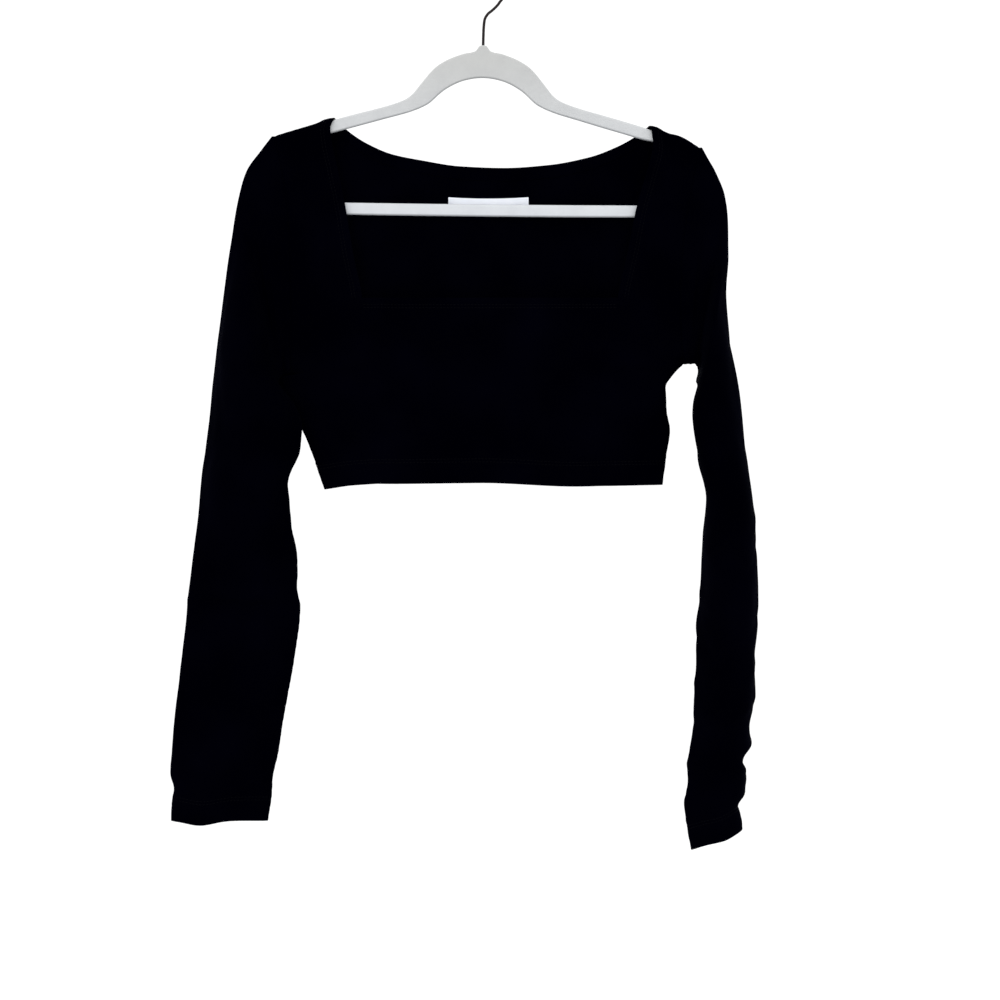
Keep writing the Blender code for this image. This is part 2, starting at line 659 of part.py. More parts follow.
def main():
    for old in list(bpy.data.objects):
        bpy.data.objects.remove(old, do_unlink=True)
    parts = bpy.data.collections.new("crop_top")
    cutters = bpy.data.collections.new("cutters")
    for collection in (parts, cutters):
        bpy.context.scene.collection.children.link(collection)
    jersey = material("black_jersey", (0.004, 0.004, 0.006), 0.85)
    satin = material("white_satin_label", (0.86, 0.87, 0.9), 0.5)
    flock = material("grey_flocking", (0.6, 0.6, 0.61), 0.95)
    wire = material("dark_wire", (0.09, 0.085, 0.085), 0.35, 1.0)

    front = make_panel("front_panel", True, jersey, parts)
    back = make_panel("back_panel", False, jersey, parts)
    for name, rings, column, outward in (
        ("sleeve_right", RIGHT_SLEEVE, 0, -1),
        ("sleeve_left", LEFT_SLEEVE, -1, 1),
    ):
        armhole = armhole_ring(front, back, column, outward, ARMHOLE_GAP)
        start = armhole_ring(front, back, column, outward, ARMHOLE_GAP + CAP_START)
        make_sleeve(name, rings, armhole, start, jersey, parts)
    make_label(back, satin, parts)

    tilt = bpy.data.objects.new("hanger_tilt", None)
    tilt.rotation_euler = (0, TILT, 0)
    parts.objects.link(tilt)
    make_hanger_body(flock, parts, cutters, tilt)
    make_hook(wire, parts, tilt)


main()
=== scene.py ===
"""A black, long-sleeved, square-necked crop top on a slim flocked hanger: the looks of every surface.

The cloth is drawn from the same sizes as its solids, as fine surfaces of two parameters with their creases,
hems, seams and stitching.  Tables and shapes are in millimetres, x towards the wearer's left, y towards the
back, and drops measured down from the hook's rest; what goes into Blender is in metres.
"""

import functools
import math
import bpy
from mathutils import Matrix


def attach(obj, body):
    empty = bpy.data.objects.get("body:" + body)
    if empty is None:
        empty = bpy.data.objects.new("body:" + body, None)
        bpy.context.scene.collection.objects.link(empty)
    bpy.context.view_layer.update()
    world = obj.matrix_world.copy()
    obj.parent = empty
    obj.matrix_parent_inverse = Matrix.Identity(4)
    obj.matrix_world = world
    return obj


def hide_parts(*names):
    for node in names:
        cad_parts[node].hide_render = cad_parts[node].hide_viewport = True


bl_info = {
    "name": "Crop top on its hanger",
    "version": (1, 0, 0),
    "blender": (4, 5, 0),
    "location": "3D View > Sidebar > Crop top",
    "description": "Builds a black jersey crop top, its sewing, its hanger and a plain studio",
    "category": "Object",
}

import bpy
import numpy as np
from bpy.props import FloatProperty, FloatVectorProperty, IntProperty, PointerProperty, StringProperty
from mathutils import Vector

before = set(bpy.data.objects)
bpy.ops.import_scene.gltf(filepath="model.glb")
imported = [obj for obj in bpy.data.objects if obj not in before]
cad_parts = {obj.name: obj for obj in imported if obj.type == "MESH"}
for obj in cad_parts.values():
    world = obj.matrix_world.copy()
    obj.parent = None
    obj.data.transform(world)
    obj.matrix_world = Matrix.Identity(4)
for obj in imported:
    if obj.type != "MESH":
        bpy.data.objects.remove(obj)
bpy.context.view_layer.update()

MM = 0.001


def table(names, *rows):
    """A small table as a dictionary of columns."""
    return dict(zip(names.split(), np.array(rows, float).T))


# The armhole seams from shoulder (level 0) to armpit (level 2), then the side seams to the hem (level 3).
EDGES = table(
    "level right_x right_drop left_x left_drop",
    (0.00, -191.4, 159.3, 198.7, 169.7),
    (0.10, -188.3, 174.5, 196.0, 184.5),
    (0.30, -182.2, 207.5, 190.8, 212.5),
    (0.50, -179.0, 238.0, 186.3, 241.0),
    (0.75, -177.2, 275.0, 182.6, 277.0),
    (1.00, -177.1, 310.6, 181.7, 310.6),
    (1.50, -177.6, 347.4, 182.6, 342.8),
    (2.00, -176.6, 380.5, 184.0, 369.9),
    (2.04, -182.9, 380.3, 180.8, 372.8),
    (2.08, -188.7, 383.6, 177.5, 376.2),
    (2.14, -188.0, 392.0, 172.8, 381.8),
    (2.28, -181.0, 405.0, 168.0, 391.5),
    (2.44, -170.0, 423.5, 169.0, 412.0),
    (2.60, -161.5, 440.5, 171.8, 430.0),
    (2.80, -153.8, 461.0, 167.9, 455.0),
    (3.00, -145.4, 484.9, 164.6, 480.8),
)
# The sides of the square neck from shoulder to corner, and below them the lines that carry on to the hem.
NECK_SIDES = table(
    "level right_x right_drop left_x left_drop",
    (0.00, -136.6, 143.0, 152.7, 150.5),
    (0.03, -138.6, 147.5, 154.6, 153.6),
    (0.06, -140.3, 152.4, 155.2, 158.5),
    (0.12, -139.4, 161.5, 156.2, 167.0),
    (0.30, -133.4, 191.0, 149.0, 197.4),
    (0.50, -127.0, 221.4, 141.7, 223.2),
    (0.75, -119.6, 265.0, 132.6, 267.0),
    (1.00, -110.9, 308.8, 123.7, 308.8),
    (2.00, -106.0, 376.0, 118.0, 372.0),
    (3.00, -98.0, 481.0, 108.0, 479.5),
)
BACK_NECK = table(
    "x drop",
    (-136.6, 143.0),
    (-122.0, 156.5),
    (-106.5, 166.4),
    (-84.0, 176.0),
    (-58.0, 181.4),
    (-20.0, 187.2),
    (20.0, 188.7),
    (60.0, 186.0),
    (98.0, 178.8),
    (124.0, 169.0),
    (141.0, 159.5),
    (152.7, 150.5),
)
# How far the shoulder seams bow up over the hanger's arms, from the armhole (across 0) to the neck (1).
SEAM_RISE = table(
    "across right left",
    (0.00, 0.00, 0.00),
    (0.08, 0.00, 0.50),
    (0.18, 0.00, 1.70),
    (0.28, 0.00, 2.40),
    (0.38, 0.00, 2.70),
    (0.50, 0.00, 1.95),
    (0.62, 0.00, 1.00),
    (0.72, 0.25, 1.20),
    (0.83, 1.20, 1.90),
    (0.92, 0.90, 1.50),
    (1.00, 0.00, 0.00),
)
HEM_RISE = table(
    "across rise",
    (0.00, 0.0),
    (0.08, 1.6),
    (0.22, 1.0),
    (0.46, 1.3),
    (0.75, -2.6),
    (1.00, 0.0),
)
# Half the garment's thickness, in front of and behind the hanger's plane.
DEPTHS = table(
    "drop front back",
    (140, 5.4, 5.4),
    (180, 5.8, 6.2),
    (230, 6.6, 8.0),
    (310, 9.0, 9.5),
    (380, 12.0, 10.5),
    (430, 12.5, 11.0),
    (485, 11.0, 12.0),
)
# The columns from an edge in to the neck's side, as shares of that width and of the depth there.
EDGE_COLUMNS = table(
    "open_at open_depth closed_at closed_depth",
    (0.00, 0.00, 0.00, 0.00),
    (0.05, 0.15, 0.00, 0.46),
    (0.12, 0.35, 0.03, 0.75),
    (0.24, 0.60, 0.13, 0.93),
    (0.45, 0.85, 0.36, 1.00),
    (0.72, 1.00, 0.66, 1.00),
    (1.00, 1.00, 1.00, 1.00),
)
# Folds of the body: a ridge, or a trough where height is negative, from one point to another.
FOLDS = table(
    "front from_x from_drop to_x to_drop width height",
    (1, -172, 372, -96, 322, 11, 2.6),
    (1, -170, 392, -80, 372, 10, -2.2),
    (1, -166, 410, -60, 428, 13, 2.0),
    (1, 178, 360, 102, 324, 11, 2.4),
    (1, 172, 384, 88, 376, 10, -2.2),
    (1, 168, 420, 70, 440, 14, 1.8),
    (1, -40, 330, -30, 470, 26, -1.8),
    (1, 46, 340, 62, 474, 22, 1.8),
    (0, -172, 368, -60, 300, 13, 2.4),
    (0, 178, 362, 76, 296, 13, 2.2),
    (0, -60, 250, -80, 470, 22, 2.0),
    (0, 20, 240, 34, 474, 26, -2.2),
    (0, 98, 260, 116, 460, 20, 2.0),
)
# Rings of a sleeve from just past the armhole down to the cuff.  outer and inner are the two sides of its
# outline from the front, flat is its width laid flat, half its half thickness, turn how far its inner side
# swings forward in degrees, and ahead how far its two sides stand in front of the hanger's plane.
RIGHT_SLEEVE = table(
    "outer_x outer_drop inner_x inner_drop flat half turn ahead",
    (-203.4, 171.8, -182.0, 381.6, 220, 7.5, 0, 0),
    (-218.0, 192.6, -184.6, 382.4, 202.4, 8.0, 2, 0),
    (-225.3, 218.4, -186.6, 383.6, 180, 8.5, 5, 2),
    (-231.7, 255.4, -187.4, 386.0, 158, 9.0, 9, 5),
    (-237.8, 296.8, -185.8, 390.0, 142, 9.5, 13, 8),
    (-242.8, 338.2, -179.8, 398.0, 133, 9.5, 16, 11),
    (-247.5, 380.5, -170.5, 411.0, 128, 9.5, 18, 13),
    (-251.2, 417.0, -165.4, 428.0, 124, 9.0, 18, 12),
    (-255.5, 447.5, -167.3, 449.0, 121, 9.0, 16, 10),
    (-260.0, 479.9, -178.8, 481.7, 119, 8.5, 12, 7),
    (-262.2, 513.0, -175.9, 514.8, 117, 8.5, 8, 4),
    (-267.5, 549.8, -170.4, 549.8, 115, 8.5, 4, 2),
    (-269.6, 570.0, -171.3, 571.0, 114, 8.0, 0, 0),
    (-272.9, 592.1, -167.2, 597.0, 113, 7.5, 0, 0),
    (-276.1, 625.0, -170.8, 626.0, 113, 7.5, 0, 0),
    (-279.7, 660.2, -177.0, 662.0, 111, 7.5, 0, 0),
    (-284.0, 697.0, -183.9, 698.8, 108, 7.0, 0, 0),
    (-286.8, 726.4, -188.0, 728.3, 106, 7.0, 0, 0),
    (-287.9, 746.7, -193.0, 748.5, 102.2, 6.5, 0, 0),
    (-284.5, 760.5, -193.9, 761.4, 98, 6.5, 0, 0),
    (-286.3, 775.5, -196.0, 777.0, 97.6, 6.5, 0, 0),
    (-286.6, 789.3, -198.0, 789.5, 95.4, 6.0, 0, 0),
)
LEFT_SLEEVE = table(
    "outer_x outer_drop inner_x inner_drop flat half turn ahead",
    (207.4, 181.0, 190.0, 370.2, 198, 7.5, 0, 0),
    (215.2, 194.6, 192.6, 370.5, 184, 8.0, 0, 0),
    (222.4, 213.0, 195.3, 371.0, 168, 9.0, -1, -1),
    (225.2, 239.0, 197.3, 372.0, 153, 10.5, -2, -3),
    (225.9, 270.0, 197.6, 374.2, 142, 12.5, -4, -6),
    (224.2, 302.0, 197.8, 378.5, 134, 12.5, -7, -9),
    (226.6, 336.0, 196.6, 386.0, 128, 9.5, -10, -12),
    (229.0, 369.0, 196.4, 397.0, 123, 7.8, -12, -14),
    (232.1, 398.0, 196.5, 411.0, 118, 7.2, -13, -15),
    (236.8, 423.0, 196.7, 428.5, 117, 7.0, -12, -15),
    (242.7, 450.4, 197.0, 452.3, 116, 6.9, -10, -14),
    (248.9, 494.6, 204.6, 496.4, 114, 7.0, -6, -13),
    (251.9, 536.0, 202.3, 537.8, 111, 7.0, -2, -12),
    (254.3, 577.4, 200.2, 579.2, 108, 7.0, 2, -11),
    (253.6, 609.6, 195.7, 611.4, 106, 7.0, 6, -10),
    (250.3, 643.6, 196.5, 645.5, 103, 7.0, 10, -9.4),
    (251.4, 674.0, 194.3, 675.8, 100, 7.0, 13, -8.2),
    (246.0, 704.0, 192.7, 706.5, 98, 7.0, 16, -8.3),
    (247.3, 720.9, 189.7, 723.7, 96, 7.0, 18, -8),
    (239.6, 735.2, 187.8, 739.4, 95, 6.5, 19, -8),
    (244.4, 745.6, 188.3, 753.0, 94, 7.0, 20, -8),
    (240.0, 767.8, 185.0, 773.0, 93, 6.5, 21, -8),
    (235.7, 774.6, 187.0, 789.0, 92, 6.5, 22, -8),
    (238.5, 797.5, 191.7, 816.4, 91, 6.5, 23, -7.7),
)
# One half of the hanger, from the middle of the arch along the arm, round the tip and back along the bar.
HANGER = table(
    "outside_x outside_drop inside_x inside_drop",
    (0.0, 76.2, 0.0, 106.4),
    (3.0, 76.9, 3.0, 106.5),
    (5.0, 79.4, 5.6, 106.7),
    (6.8, 81.6, 8.2, 107.0),
    (10.4, 82.9, 11.0, 107.5),
    (16.5, 84.0, 15.0, 108.4),
    (24.0, 86.4, 19.5, 109.7),
    (33.0, 90.2, 25.5, 112.2),
    (42.5, 96.2, 31.5, 115.5),
    (48.5, 102.1, 36.3, 118.7),
    (54.0, 108.8, 41.0, 122.7),
    (59.0, 115.2, 45.0, 126.6),
    (64.5, 121.9, 49.5, 130.4),
    (71.0, 126.8, 56.5, 134.2),
    (79.5, 130.4, 67.0, 138.4),
    (93.0, 134.7, 89.8, 145.0),
    (113.6, 140.2, 110.0, 150.8),
    (133.4, 145.7, 130.0, 156.4),
    (151.0, 151.0, 147.0, 161.2),
    (169.0, 157.5, 163.5, 164.8),
    (179.0, 160.9, 171.5, 169.8),
    (187.0, 165.6, 177.0, 173.6),
    (191.8, 171.0, 179.6, 176.8),
    (193.0, 177.5, 180.6, 180.0),
    (191.6, 185.0, 179.8, 184.0),
    (182.5, 212.0, 171.2, 209.0),
    (179.6, 221.5, 168.6, 215.5),
    (175.0, 229.0, 165.0, 220.2),
    (167.0, 233.2, 159.0, 222.2),
    (150.0, 233.2, 150.0, 222.2),
    (75.0, 233.7, 75.0, 222.6),
    (0.0, 233.8, 0.0, 222.8),
)
# The hook's wire from inside the boss to where it joins the loop: a straight stem, then a bend.
STEM = table(
    "x drop",
    (0.9, 89.0),
    (1.0, 72.0),
    (1.2, 62.0),
    (1.5, 57.0),
    (2.1, 52.6),
    (4.9, 47.5),
    (8.2, 44.7),
    (11.3, 41.9),
    (13.9, 39.1),
    (16.0, 36.1),
)

# The jersey as it is drawn, and its sewing.  Its two cuts are in metres.
SHELL = 0.7
SEAM_GAP = 0.04
PANEL_CUT = (0.392, 0.343)
SLEEVE_CUT = (0.42, 0.66)
ARMHOLE_FULLNESS = 0.94  # of the depth, where the armholes' edges stand open
OVER_ARM = 5.0  # how far below the seams' line the back's neck edge has its full depth
RISE_FADES_AT = 0.25  # the level where the shoulder seams' bow has gone
HEM_RISES_FROM = 2.3  # the level where the hem's own line starts to bend the rows
SEAM_DIP = 0.5
SHOULDER_SHARE = 0.5  # of that dip, where the seam lies on the hanger's arm
SEAM_REACH = 1.5  # how wide the groove along a seam is
HEM_DEPTH = 25.0
NECK_HEM_DEPTH = 12.0
NECK_HEM_SHARE = 0.6  # of a hem's relief, at the necks
STITCH_ROWS = (2.7, 5.5)  # how far the twin rows of stitches stand in from a hem's raw edge
FOLD_RADIUS = 0.78  # of the round edge where a hem turns
STITCH_PITCH = 3.2
STITCH_LENGTH = 2.4
STITCH_SIDES = 6
THREAD_RADIUS = 0.2
CREASE_ENDS = (0.3, 0.25)  # as shares of a crease's length: how far it is full from its middle, and its fade
# By how much creases lie flatter at each sewn line, and how far away that fades out.
CALM = {"hem": (0.8, 14.0), "side": (0.85, 7.0), "shoulder": (1.0, 9.0), "armhole": (1.0, 11.0)}
FAR = 99.0  # farther away than any hem or seam reaches

# The hanger, its wire and the label
TILT = math.radians(0.6)
ARCH_SHIFT = 0.9  # how far the arch is moulded off centre, towards the wearer's left
ARCH_REACH = (60.0, 120.0)  # from the middle, where that starts to fade out and where it has gone
HANGER_THICKNESS = 5.5
HANGER_EDGE = 1.9
WIRE_RADIUS = 1.3
TIP_RADIUS = 0.02  # of the last ring, which closes the wire's end
HOOK_RADIUS = 20.8
HOOK_ENDS_AT = math.radians(212)
STEM_STEPS, LOOP_STEPS, WIRE_SIDES = 49, 90, 16
LABEL_WIDTH = 74.0
LABEL_X = 5.0
LABEL_TOP = 216.3
LABEL_HEIGHT = 16.0
LABEL_THICKNESS = 0.18
LABEL_FOLD = 7.0  # how much of each end is turned under
LABEL_BEND = 0.4  # how far that fold reaches sideways
LABEL_LAYER = 0.5  # how far the tape's face lies in front of its turned ends
LABEL_CLEAR = 0.45  # between those and the back's inside

# Lines of the panels' grid: where the neck's corners and the armpits lie, and how finely each part is cut.
CORNER_ROW = 86
ARMPIT_ROW = 126
TURN_STEPS, CLOSING_STEPS, SIDE_STEPS = 6, 8, 56
TURNED_AT, NARROWS_FROM, CLOSING_FROM = 0.03, 1.8, 1.88  # levels
EDGE_STEPS = (4, 4, 5, 6, 7, 7)
NECK_COLUMN = sum(EDGE_STEPS)
MIDDLE = slice(NECK_COLUMN, -NECK_COLUMN)
CENTRE_STEPS = 120
HEM_ROWS = 40  # more than any hem takes up
# Where the back's rows fan down from the neck: shares across, and the least share of an even row's way
FAN_FROM, FAN_TO, LEAST_SHARE = 0.03, 0.2, 0.048

# The sleeves' rings: their steps, their curl and how they start at the armhole and end at the cuff.
RING_STEP = 2.6
OUTER_WEIGHT = 0.75  # of a sleeve's outer side, in the way down it
END_STEP = 10  # degrees from point to point round a section's ends
CURL_STEPS, CURL_HALVINGS = 400, 24
CURL_SHARPNESS = 3.0
FACE_SPAN = 110.0  # across a sleeve's face, as its creases are placed
UNDERARM_SCALE = 1.1  # from that span to millimetres, beside the underarm seam
SLEEVE_WAVES = (60, 40)  # where the waves start on a sleeve, across and down
CAP_START = 3.0  # from the armhole's edge to the first ring
CAP_RINGS = 4  # rows of the sleeve's table over which the armhole's own form fades out
JOIN_REACH = 4.0  # how far down a sleeve its fit to the panels' own edges fades out
CUFF_SAGS = {-1: (4.6, 0.30, 0.20), 1: (2.2, 0.36, 0.26)}  # depth, middle and width across, right and left
CUFF_SAG_REACH = 26.0  # how far up the sleeve that fades out

# The size of both soft lights, in metres
LAMP_SIZE = 1.6

# Soft creases: a ridge, or a trough where height is negative, along a line that fades out at both ends.
FRONT_CREASES = table(
    "from_x from_drop to_x to_drop width height",
    (-173, 350, -118, 304, 5.0, 1.2),
    (-175, 362, -98, 336, 4.2, -1.3),
    (-172, 379, -86, 362, 5.0, 1.4),
    (-170, 391, -70, 388, 4.5, -1.2),
    (-166, 403, -92, 424, 5.2, 1.1),
    (-161, 420, -108, 452, 4.4, -1.0),
    (179, 344, 126, 300, 5.2, 1.1),
    (181, 356, 104, 338, 4.2, -1.2),
    (176, 372, 84, 368, 4.8, 1.3),
    (170, 386, 96, 398, 4.6, -1.1),
    (169, 400, 108, 432, 5.6, 1.0),
    (165, 424, 118, 458, 4.4, -0.8),
    (-92, 316, -104, 462, 7.5, 1.0),
    (-70, 318, -76, 474, 8.5, -0.9),
    (-28, 320, -18, 430, 10.0, 0.7),
    (24, 318, 20, 470, 8.0, -0.8),
    (66, 318, 84, 462, 8.5, 0.9),
    (96, 318, 104, 452, 6.0, -0.8),
    (-150, 448, -122, 480, 5.5, 0.9),
    (-122, 444, -100, 482, 5.0, -0.8),
    (148, 446, 132, 478, 5.0, 0.8),
    (-178, 186, -166, 300, 4.0, 0.8),
    (-164, 176, -146, 282, 4.6, -0.8),
    (-150, 182, -130, 296, 4.0, 0.7),
    (186, 192, 170, 300, 4.2, 0.8),
    (172, 184, 156, 276, 4.6, -0.9),
    (160, 190, 140, 300, 3.8, 0.7),
    (-112, 308, -60, 340, 5.5, 0.8),
    (124, 309, 74, 344, 5.5, 0.8),
)
BACK_CREASES = table(
    "from_x from_drop to_x to_drop width height",
    (-174, 344, -110, 286, 5.2, 1.2),
    (-176, 360, -92, 316, 4.6, -1.2),
    (-172, 380, -80, 356, 5.4, 1.2),
    (-168, 400, -96, 408, 5.0, -1.0),
    (-162, 422, -110, 456, 4.6, 0.8),
    (180, 340, 118, 280, 5.0, 1.2),
    (181, 358, 98, 322, 4.4, -1.1),
    (174, 376, 88, 362, 5.2, 1.2),
    (169, 396, 104, 412, 4.8, -1.0),
    (166, 420, 120, 452, 4.6, 0.8),
    (-96, 196, -112, 300, 7.0, -0.9),
    (-60, 214, -66, 360, 9.0, 0.8),
    (-24, 232, -30, 420, 10.0, -0.8),
    (14, 236, 8, 380, 9.0, 0.7),
    (56, 214, 62, 350, 9.0, -0.9),
    (104, 196, 118, 300, 7.0, 0.9),
    (-44, 372, -52, 476, 7.5, 0.9),
    (40, 390, 44, 478, 8.0, -0.9),
    (86, 372, 94, 476, 7.0, 0.8),
    (-120, 392, -116, 476, 6.5, -0.8),
    (-176, 190, -168, 296, 4.2, 0.8),
    (-156, 184, -146, 290, 4.4, -0.7),
    (182, 196, 172, 296, 4.2, 0.8),
    (164, 190, 154, 280, 4.4, -0.7),
)
# On a sleeve, x runs over one face from its outer side (0) to its inner side (110), and drop is the way down
# the sleeve from the armhole.
RIGHT_SLEEVE_CREASES = table(
    "front from_x from_drop to_x to_drop width height",
    (1, 84, 60, 80, 330, 6.0, 1.7),
    (1, 70, 90, 66, 290, 5.0, -1.5),
    (1, 100, 196, 52, 262, 5.5, 1.5),
    (1, 104, 214, 60, 300, 5.0, -1.5),
    (1, 106, 238, 44, 300, 5.5, 1.5),
    (1, 108, 262, 62, 352, 5.0, -1.3),
    (1, 30, 60, 34, 240, 8.0, 1.0),
    (1, 14, 40, 40, 180, 5.0, -0.8),
    (1, 108, 312, 40, 352, 6.0, 1.5),
    (1, 104, 336, 52, 392, 5.0, -1.4),
    (1, 106, 372, 36, 402, 5.5, 1.3),
    (1, 4, 336, 56, 384, 5.5, -1.2),
    (1, 2, 400, 66, 452, 6.0, 1.3),
    (1, 108, 424, 58, 452, 5.0, -1.5),
    (1, 108, 446, 48, 492, 5.5, 1.3),
    (1, 6, 470, 60, 500, 5.0, -1.1),
    (1, 106, 500, 40, 524, 5.0, 1.1),
    (1, 2, 540, 70, 556, 4.0, 1.3),
    (1, 0, 556, 58, 566, 3.4, -1.5),
    (1, 2, 572, 74, 582, 3.8, 1.3),
    (1, 108, 560, 66, 574, 3.6, -1.0),
    (1, 0, 592, 64, 592, 3.4, -1.2),
    (0, 88, 60, 84, 300, 6.0, 1.5),
    (0, 66, 80, 60, 260, 5.5, -1.3),
    (0, 104, 210, 50, 276, 5.5, 1.5),
    (0, 106, 244, 56, 318, 5.0, -1.4),
    (0, 22, 50, 34, 230, 7.0, 1.0),
    (0, 106, 318, 30, 360, 6.0, 1.4),
    (0, 104, 352, 44, 404, 5.0, -1.3),
    (0, 4, 370, 60, 420, 5.5, 1.2),
    (0, 108, 430, 46, 470, 5.5, 1.4),
    (0, 104, 456, 50, 506, 4.6, -1.2),
    (0, 2, 520, 60, 540, 4.4, 1.2),
    (0, 2, 548, 72, 560, 3.8, -1.3),
    (0, 2, 574, 62, 580, 3.8, 1.2),
)
LEFT_SLEEVE_CREASES = table(
    "front from_x from_drop to_x to_drop width height",
    (1, 20, 40, 26, 230, 6.0, 0.8),
    (1, 4, 258, 52, 300, 5.0, 1.0),
    (1, 6, 286, 58, 330, 4.6, -1.1),
    (1, 92, 276, 58, 316, 5.0, 1.1),
    (1, 106, 330, 40, 366, 5.5, 1.3),
    (1, 4, 352, 58, 384, 5.0, -1.2),
    (1, 106, 372, 52, 402, 4.6, -1.3),
    (1, 2, 396, 62, 420, 5.4, 1.3),
    (1, 108, 414, 36, 444, 5.2, 1.4),
    (1, 2, 436, 52, 456, 4.6, -1.3),
    (1, 108, 452, 50, 470, 4.4, -1.3),
    (1, 2, 474, 74, 486, 4.6, 1.5),
    (1, 108, 492, 40, 502, 4.0, 1.3),
    (1, 0, 508, 66, 514, 3.8, -1.6),
    (1, 0, 526, 84, 530, 4.2, 1.6),
    (1, 110, 520, 60, 540, 3.6, -1.2),
    (1, 0, 544, 74, 546, 3.4, -1.7),
    (1, 0, 560, 90, 566, 4.2, 1.7),
    (1, 110, 560, 56, 580, 3.4, -1.2),
    (1, 0, 578, 62, 582, 3.2, -1.7),
    (1, 0, 596, 86, 602, 3.8, 1.4),
    (0, 84, 70, 80, 260, 6.0, 1.0),
    (0, 4, 262, 60, 310, 5.2, 1.1),
    (0, 90, 296, 48, 340, 5.0, -1.2),
    (0, 4, 344, 66, 376, 5.2, 1.2),
    (0, 106, 372, 44, 410, 5.0, 1.3),
    (0, 2, 410, 58, 436, 4.8, -1.2),
    (0, 106, 440, 40, 462, 5.0, 1.3),
    (0, 0, 468, 72, 482, 4.4, 1.5),
    (0, 0, 504, 80, 510, 3.8, -1.6),
    (0, 0, 524, 70, 532, 4.0, 1.6),
    (0, 110, 536, 40, 552, 3.8, 1.2),
    (0, 0, 556, 84, 560, 3.6, -1.5),
    (0, 0, 580, 76, 586, 3.8, 1.5),
)
# Slow waves of cloth that never lies quite flat.
WAVES = table(
    "across down phase height",
    (83.0, 141.0, 0.4, 0.34),
    (-57.0, 96.0, 2.1, 0.27),
    (34.0, -71.0, 4.0, 0.17),
    (-23.0, -47.0, 5.2, 0.11),
    (17.0, 29.0, 1.3, 0.07),
)


def bell(distance, width):
    """1 at no distance, and less on both sides of it: exp(-(distance / width) ** 2)."""
    return np.exp(-((distance / width) ** 2))


def flow(table_of, column, at, key="level"):
    """A smooth curve through one column: cubic pieces whose slopes are the harmonic means of both sides."""
    stations, values = table_of[key], table_of[column]
    steps = np.diff(stations)
    rates = np.diff(values) / steps
    slopes = np.empty_like(values)
    slopes[0], slopes[-1] = rates[0], rates[-1]
    both = rates[:-1] * rates[1:]
    total = rates[:-1] + rates[1:]
    slopes[1:-1] = np.where(both > 0, 2 * both / np.where(total == 0, 1, total), 0)
    i = np.clip(np.searchsorted(stations, at, side="right") - 1, 0, len(steps) - 1)
    h = steps[i]
    s = np.clip((at - stations[i]) / h, 0, 1)
    return (
        (1 + 2 * s) * (1 - s) ** 2 * values[i]
        + s * (1 - s) ** 2 * h * slopes[i]
        + s * s * (3 - 2 * s) * values[i + 1]
        + s * s * (s - 1) * h * slopes[i + 1]
    )


def smooth_step(s):
    """0 below 0, 1 above 1, and an even S between."""
    s = np.clip(s, 0, 1)
    return s * s * (3 - 2 * s)


def quarter_round(s):
    """How far a round edge has risen, a share s of its width in from where it starts."""
    return np.sqrt(1 - (1 - np.clip(s, 0, 1)) ** 2)


def only(lines, front):
    """The lines of a table that lie on this face."""
    chosen = lines["front"] == front
    return {name: column[chosen] for name, column in lines.items()}


def ridges(lines, x, drop):
    """The height of creases at these points: a bell across each crease's line that fades at both its ends."""
    height = np.zeros_like(x)
    names = ("from_x", "from_drop", "to_x", "to_drop", "width", "height")
    full, fading = CREASE_ENDS
    for x0, d0, x1, d1, width, high in zip(*(lines[name] for name in names)):
        length = math.hypot(x1 - x0, d1 - d0)
        along_x, along_drop = (x1 - x0) / length, (d1 - d0) / length
        share = ((x - x0) * along_x + (drop - d0) * along_drop) / length
        aside = (x - x0) * along_drop - (drop - d0) * along_x
        height += high * bell(np.maximum(np.abs(share - 0.5) - full, 0), fading) * bell(aside, width)
    return height


def waves(x, drop):
    """Slow waves: the sum of sines of x / across + drop / down, each with its own phase and height."""
    turns = x[..., None] / WAVES["across"] + drop[..., None] / WAVES["down"]
    return (WAVES["height"] * np.sin(2 * math.pi * turns + WAVES["phase"])).sum(-1)


def unit(vectors):
    """Vectors scaled to a length of 1."""
    return vectors / np.maximum(np.linalg.norm(vectors, axis=-1, keepdims=True), 1e-9)


def normals(points, closed=False):
    """Unit normals of a grid of points: its direction across times its direction down."""
    if closed:
        across = np.roll(points, -1, 1) - np.roll(points, 1, 1)
    else:
        across = np.gradient(points, axis=1)
    return unit(np.cross(across, np.gradient(points, axis=0)))


def run_along(points, axis):
    """How far each point of a grid lies along its own row or column, from the first point."""
    steps = np.linalg.norm(np.diff(points, axis=axis), axis=2)
    first = np.zeros_like(np.take(steps, [0], axis=axis))
    return np.cumsum(np.concatenate([first, steps], axis=axis), axis=axis)


def panel_rows():
    """Every row's level, and its shares of the depth over the arm and at the underarm.

    The rows turn over the arm on a quarter circle, run evenly past the neck's corners, close up on a quarter
    circle to the armpit, and run evenly to the hem.
    """
    turn = np.linspace(0, math.pi / 2, TURN_STEPS + 1)
    closing = np.linspace(0, math.pi / 2, CLOSING_STEPS + 1)[1:]
    level = np.hstack([
        TURNED_AT * (1 - np.cos(turn)),
        np.linspace(TURNED_AT, 1, CORNER_ROW - TURN_STEPS + 1)[1:],
        np.linspace(1, NARROWS_FROM, ARMPIT_ROW - CORNER_ROW - CLOSING_STEPS + 1)[1:],
        NARROWS_FROM + (2 - NARROWS_FROM) * np.sin(closing),
        np.linspace(2, 3, SIDE_STEPS + 1)[1:],
    ])
    over_arm = np.ones_like(level)
    over_arm[: len(turn)] = np.sin(turn)
    underarm = np.sqrt(1 - np.clip((level - NARROWS_FROM) / (2 - NARROWS_FROM), 0, 1) ** 2)
    underarm[ARMPIT_ROW:] = 0
    return level[:, None], over_arm[:, None], underarm[:, None]


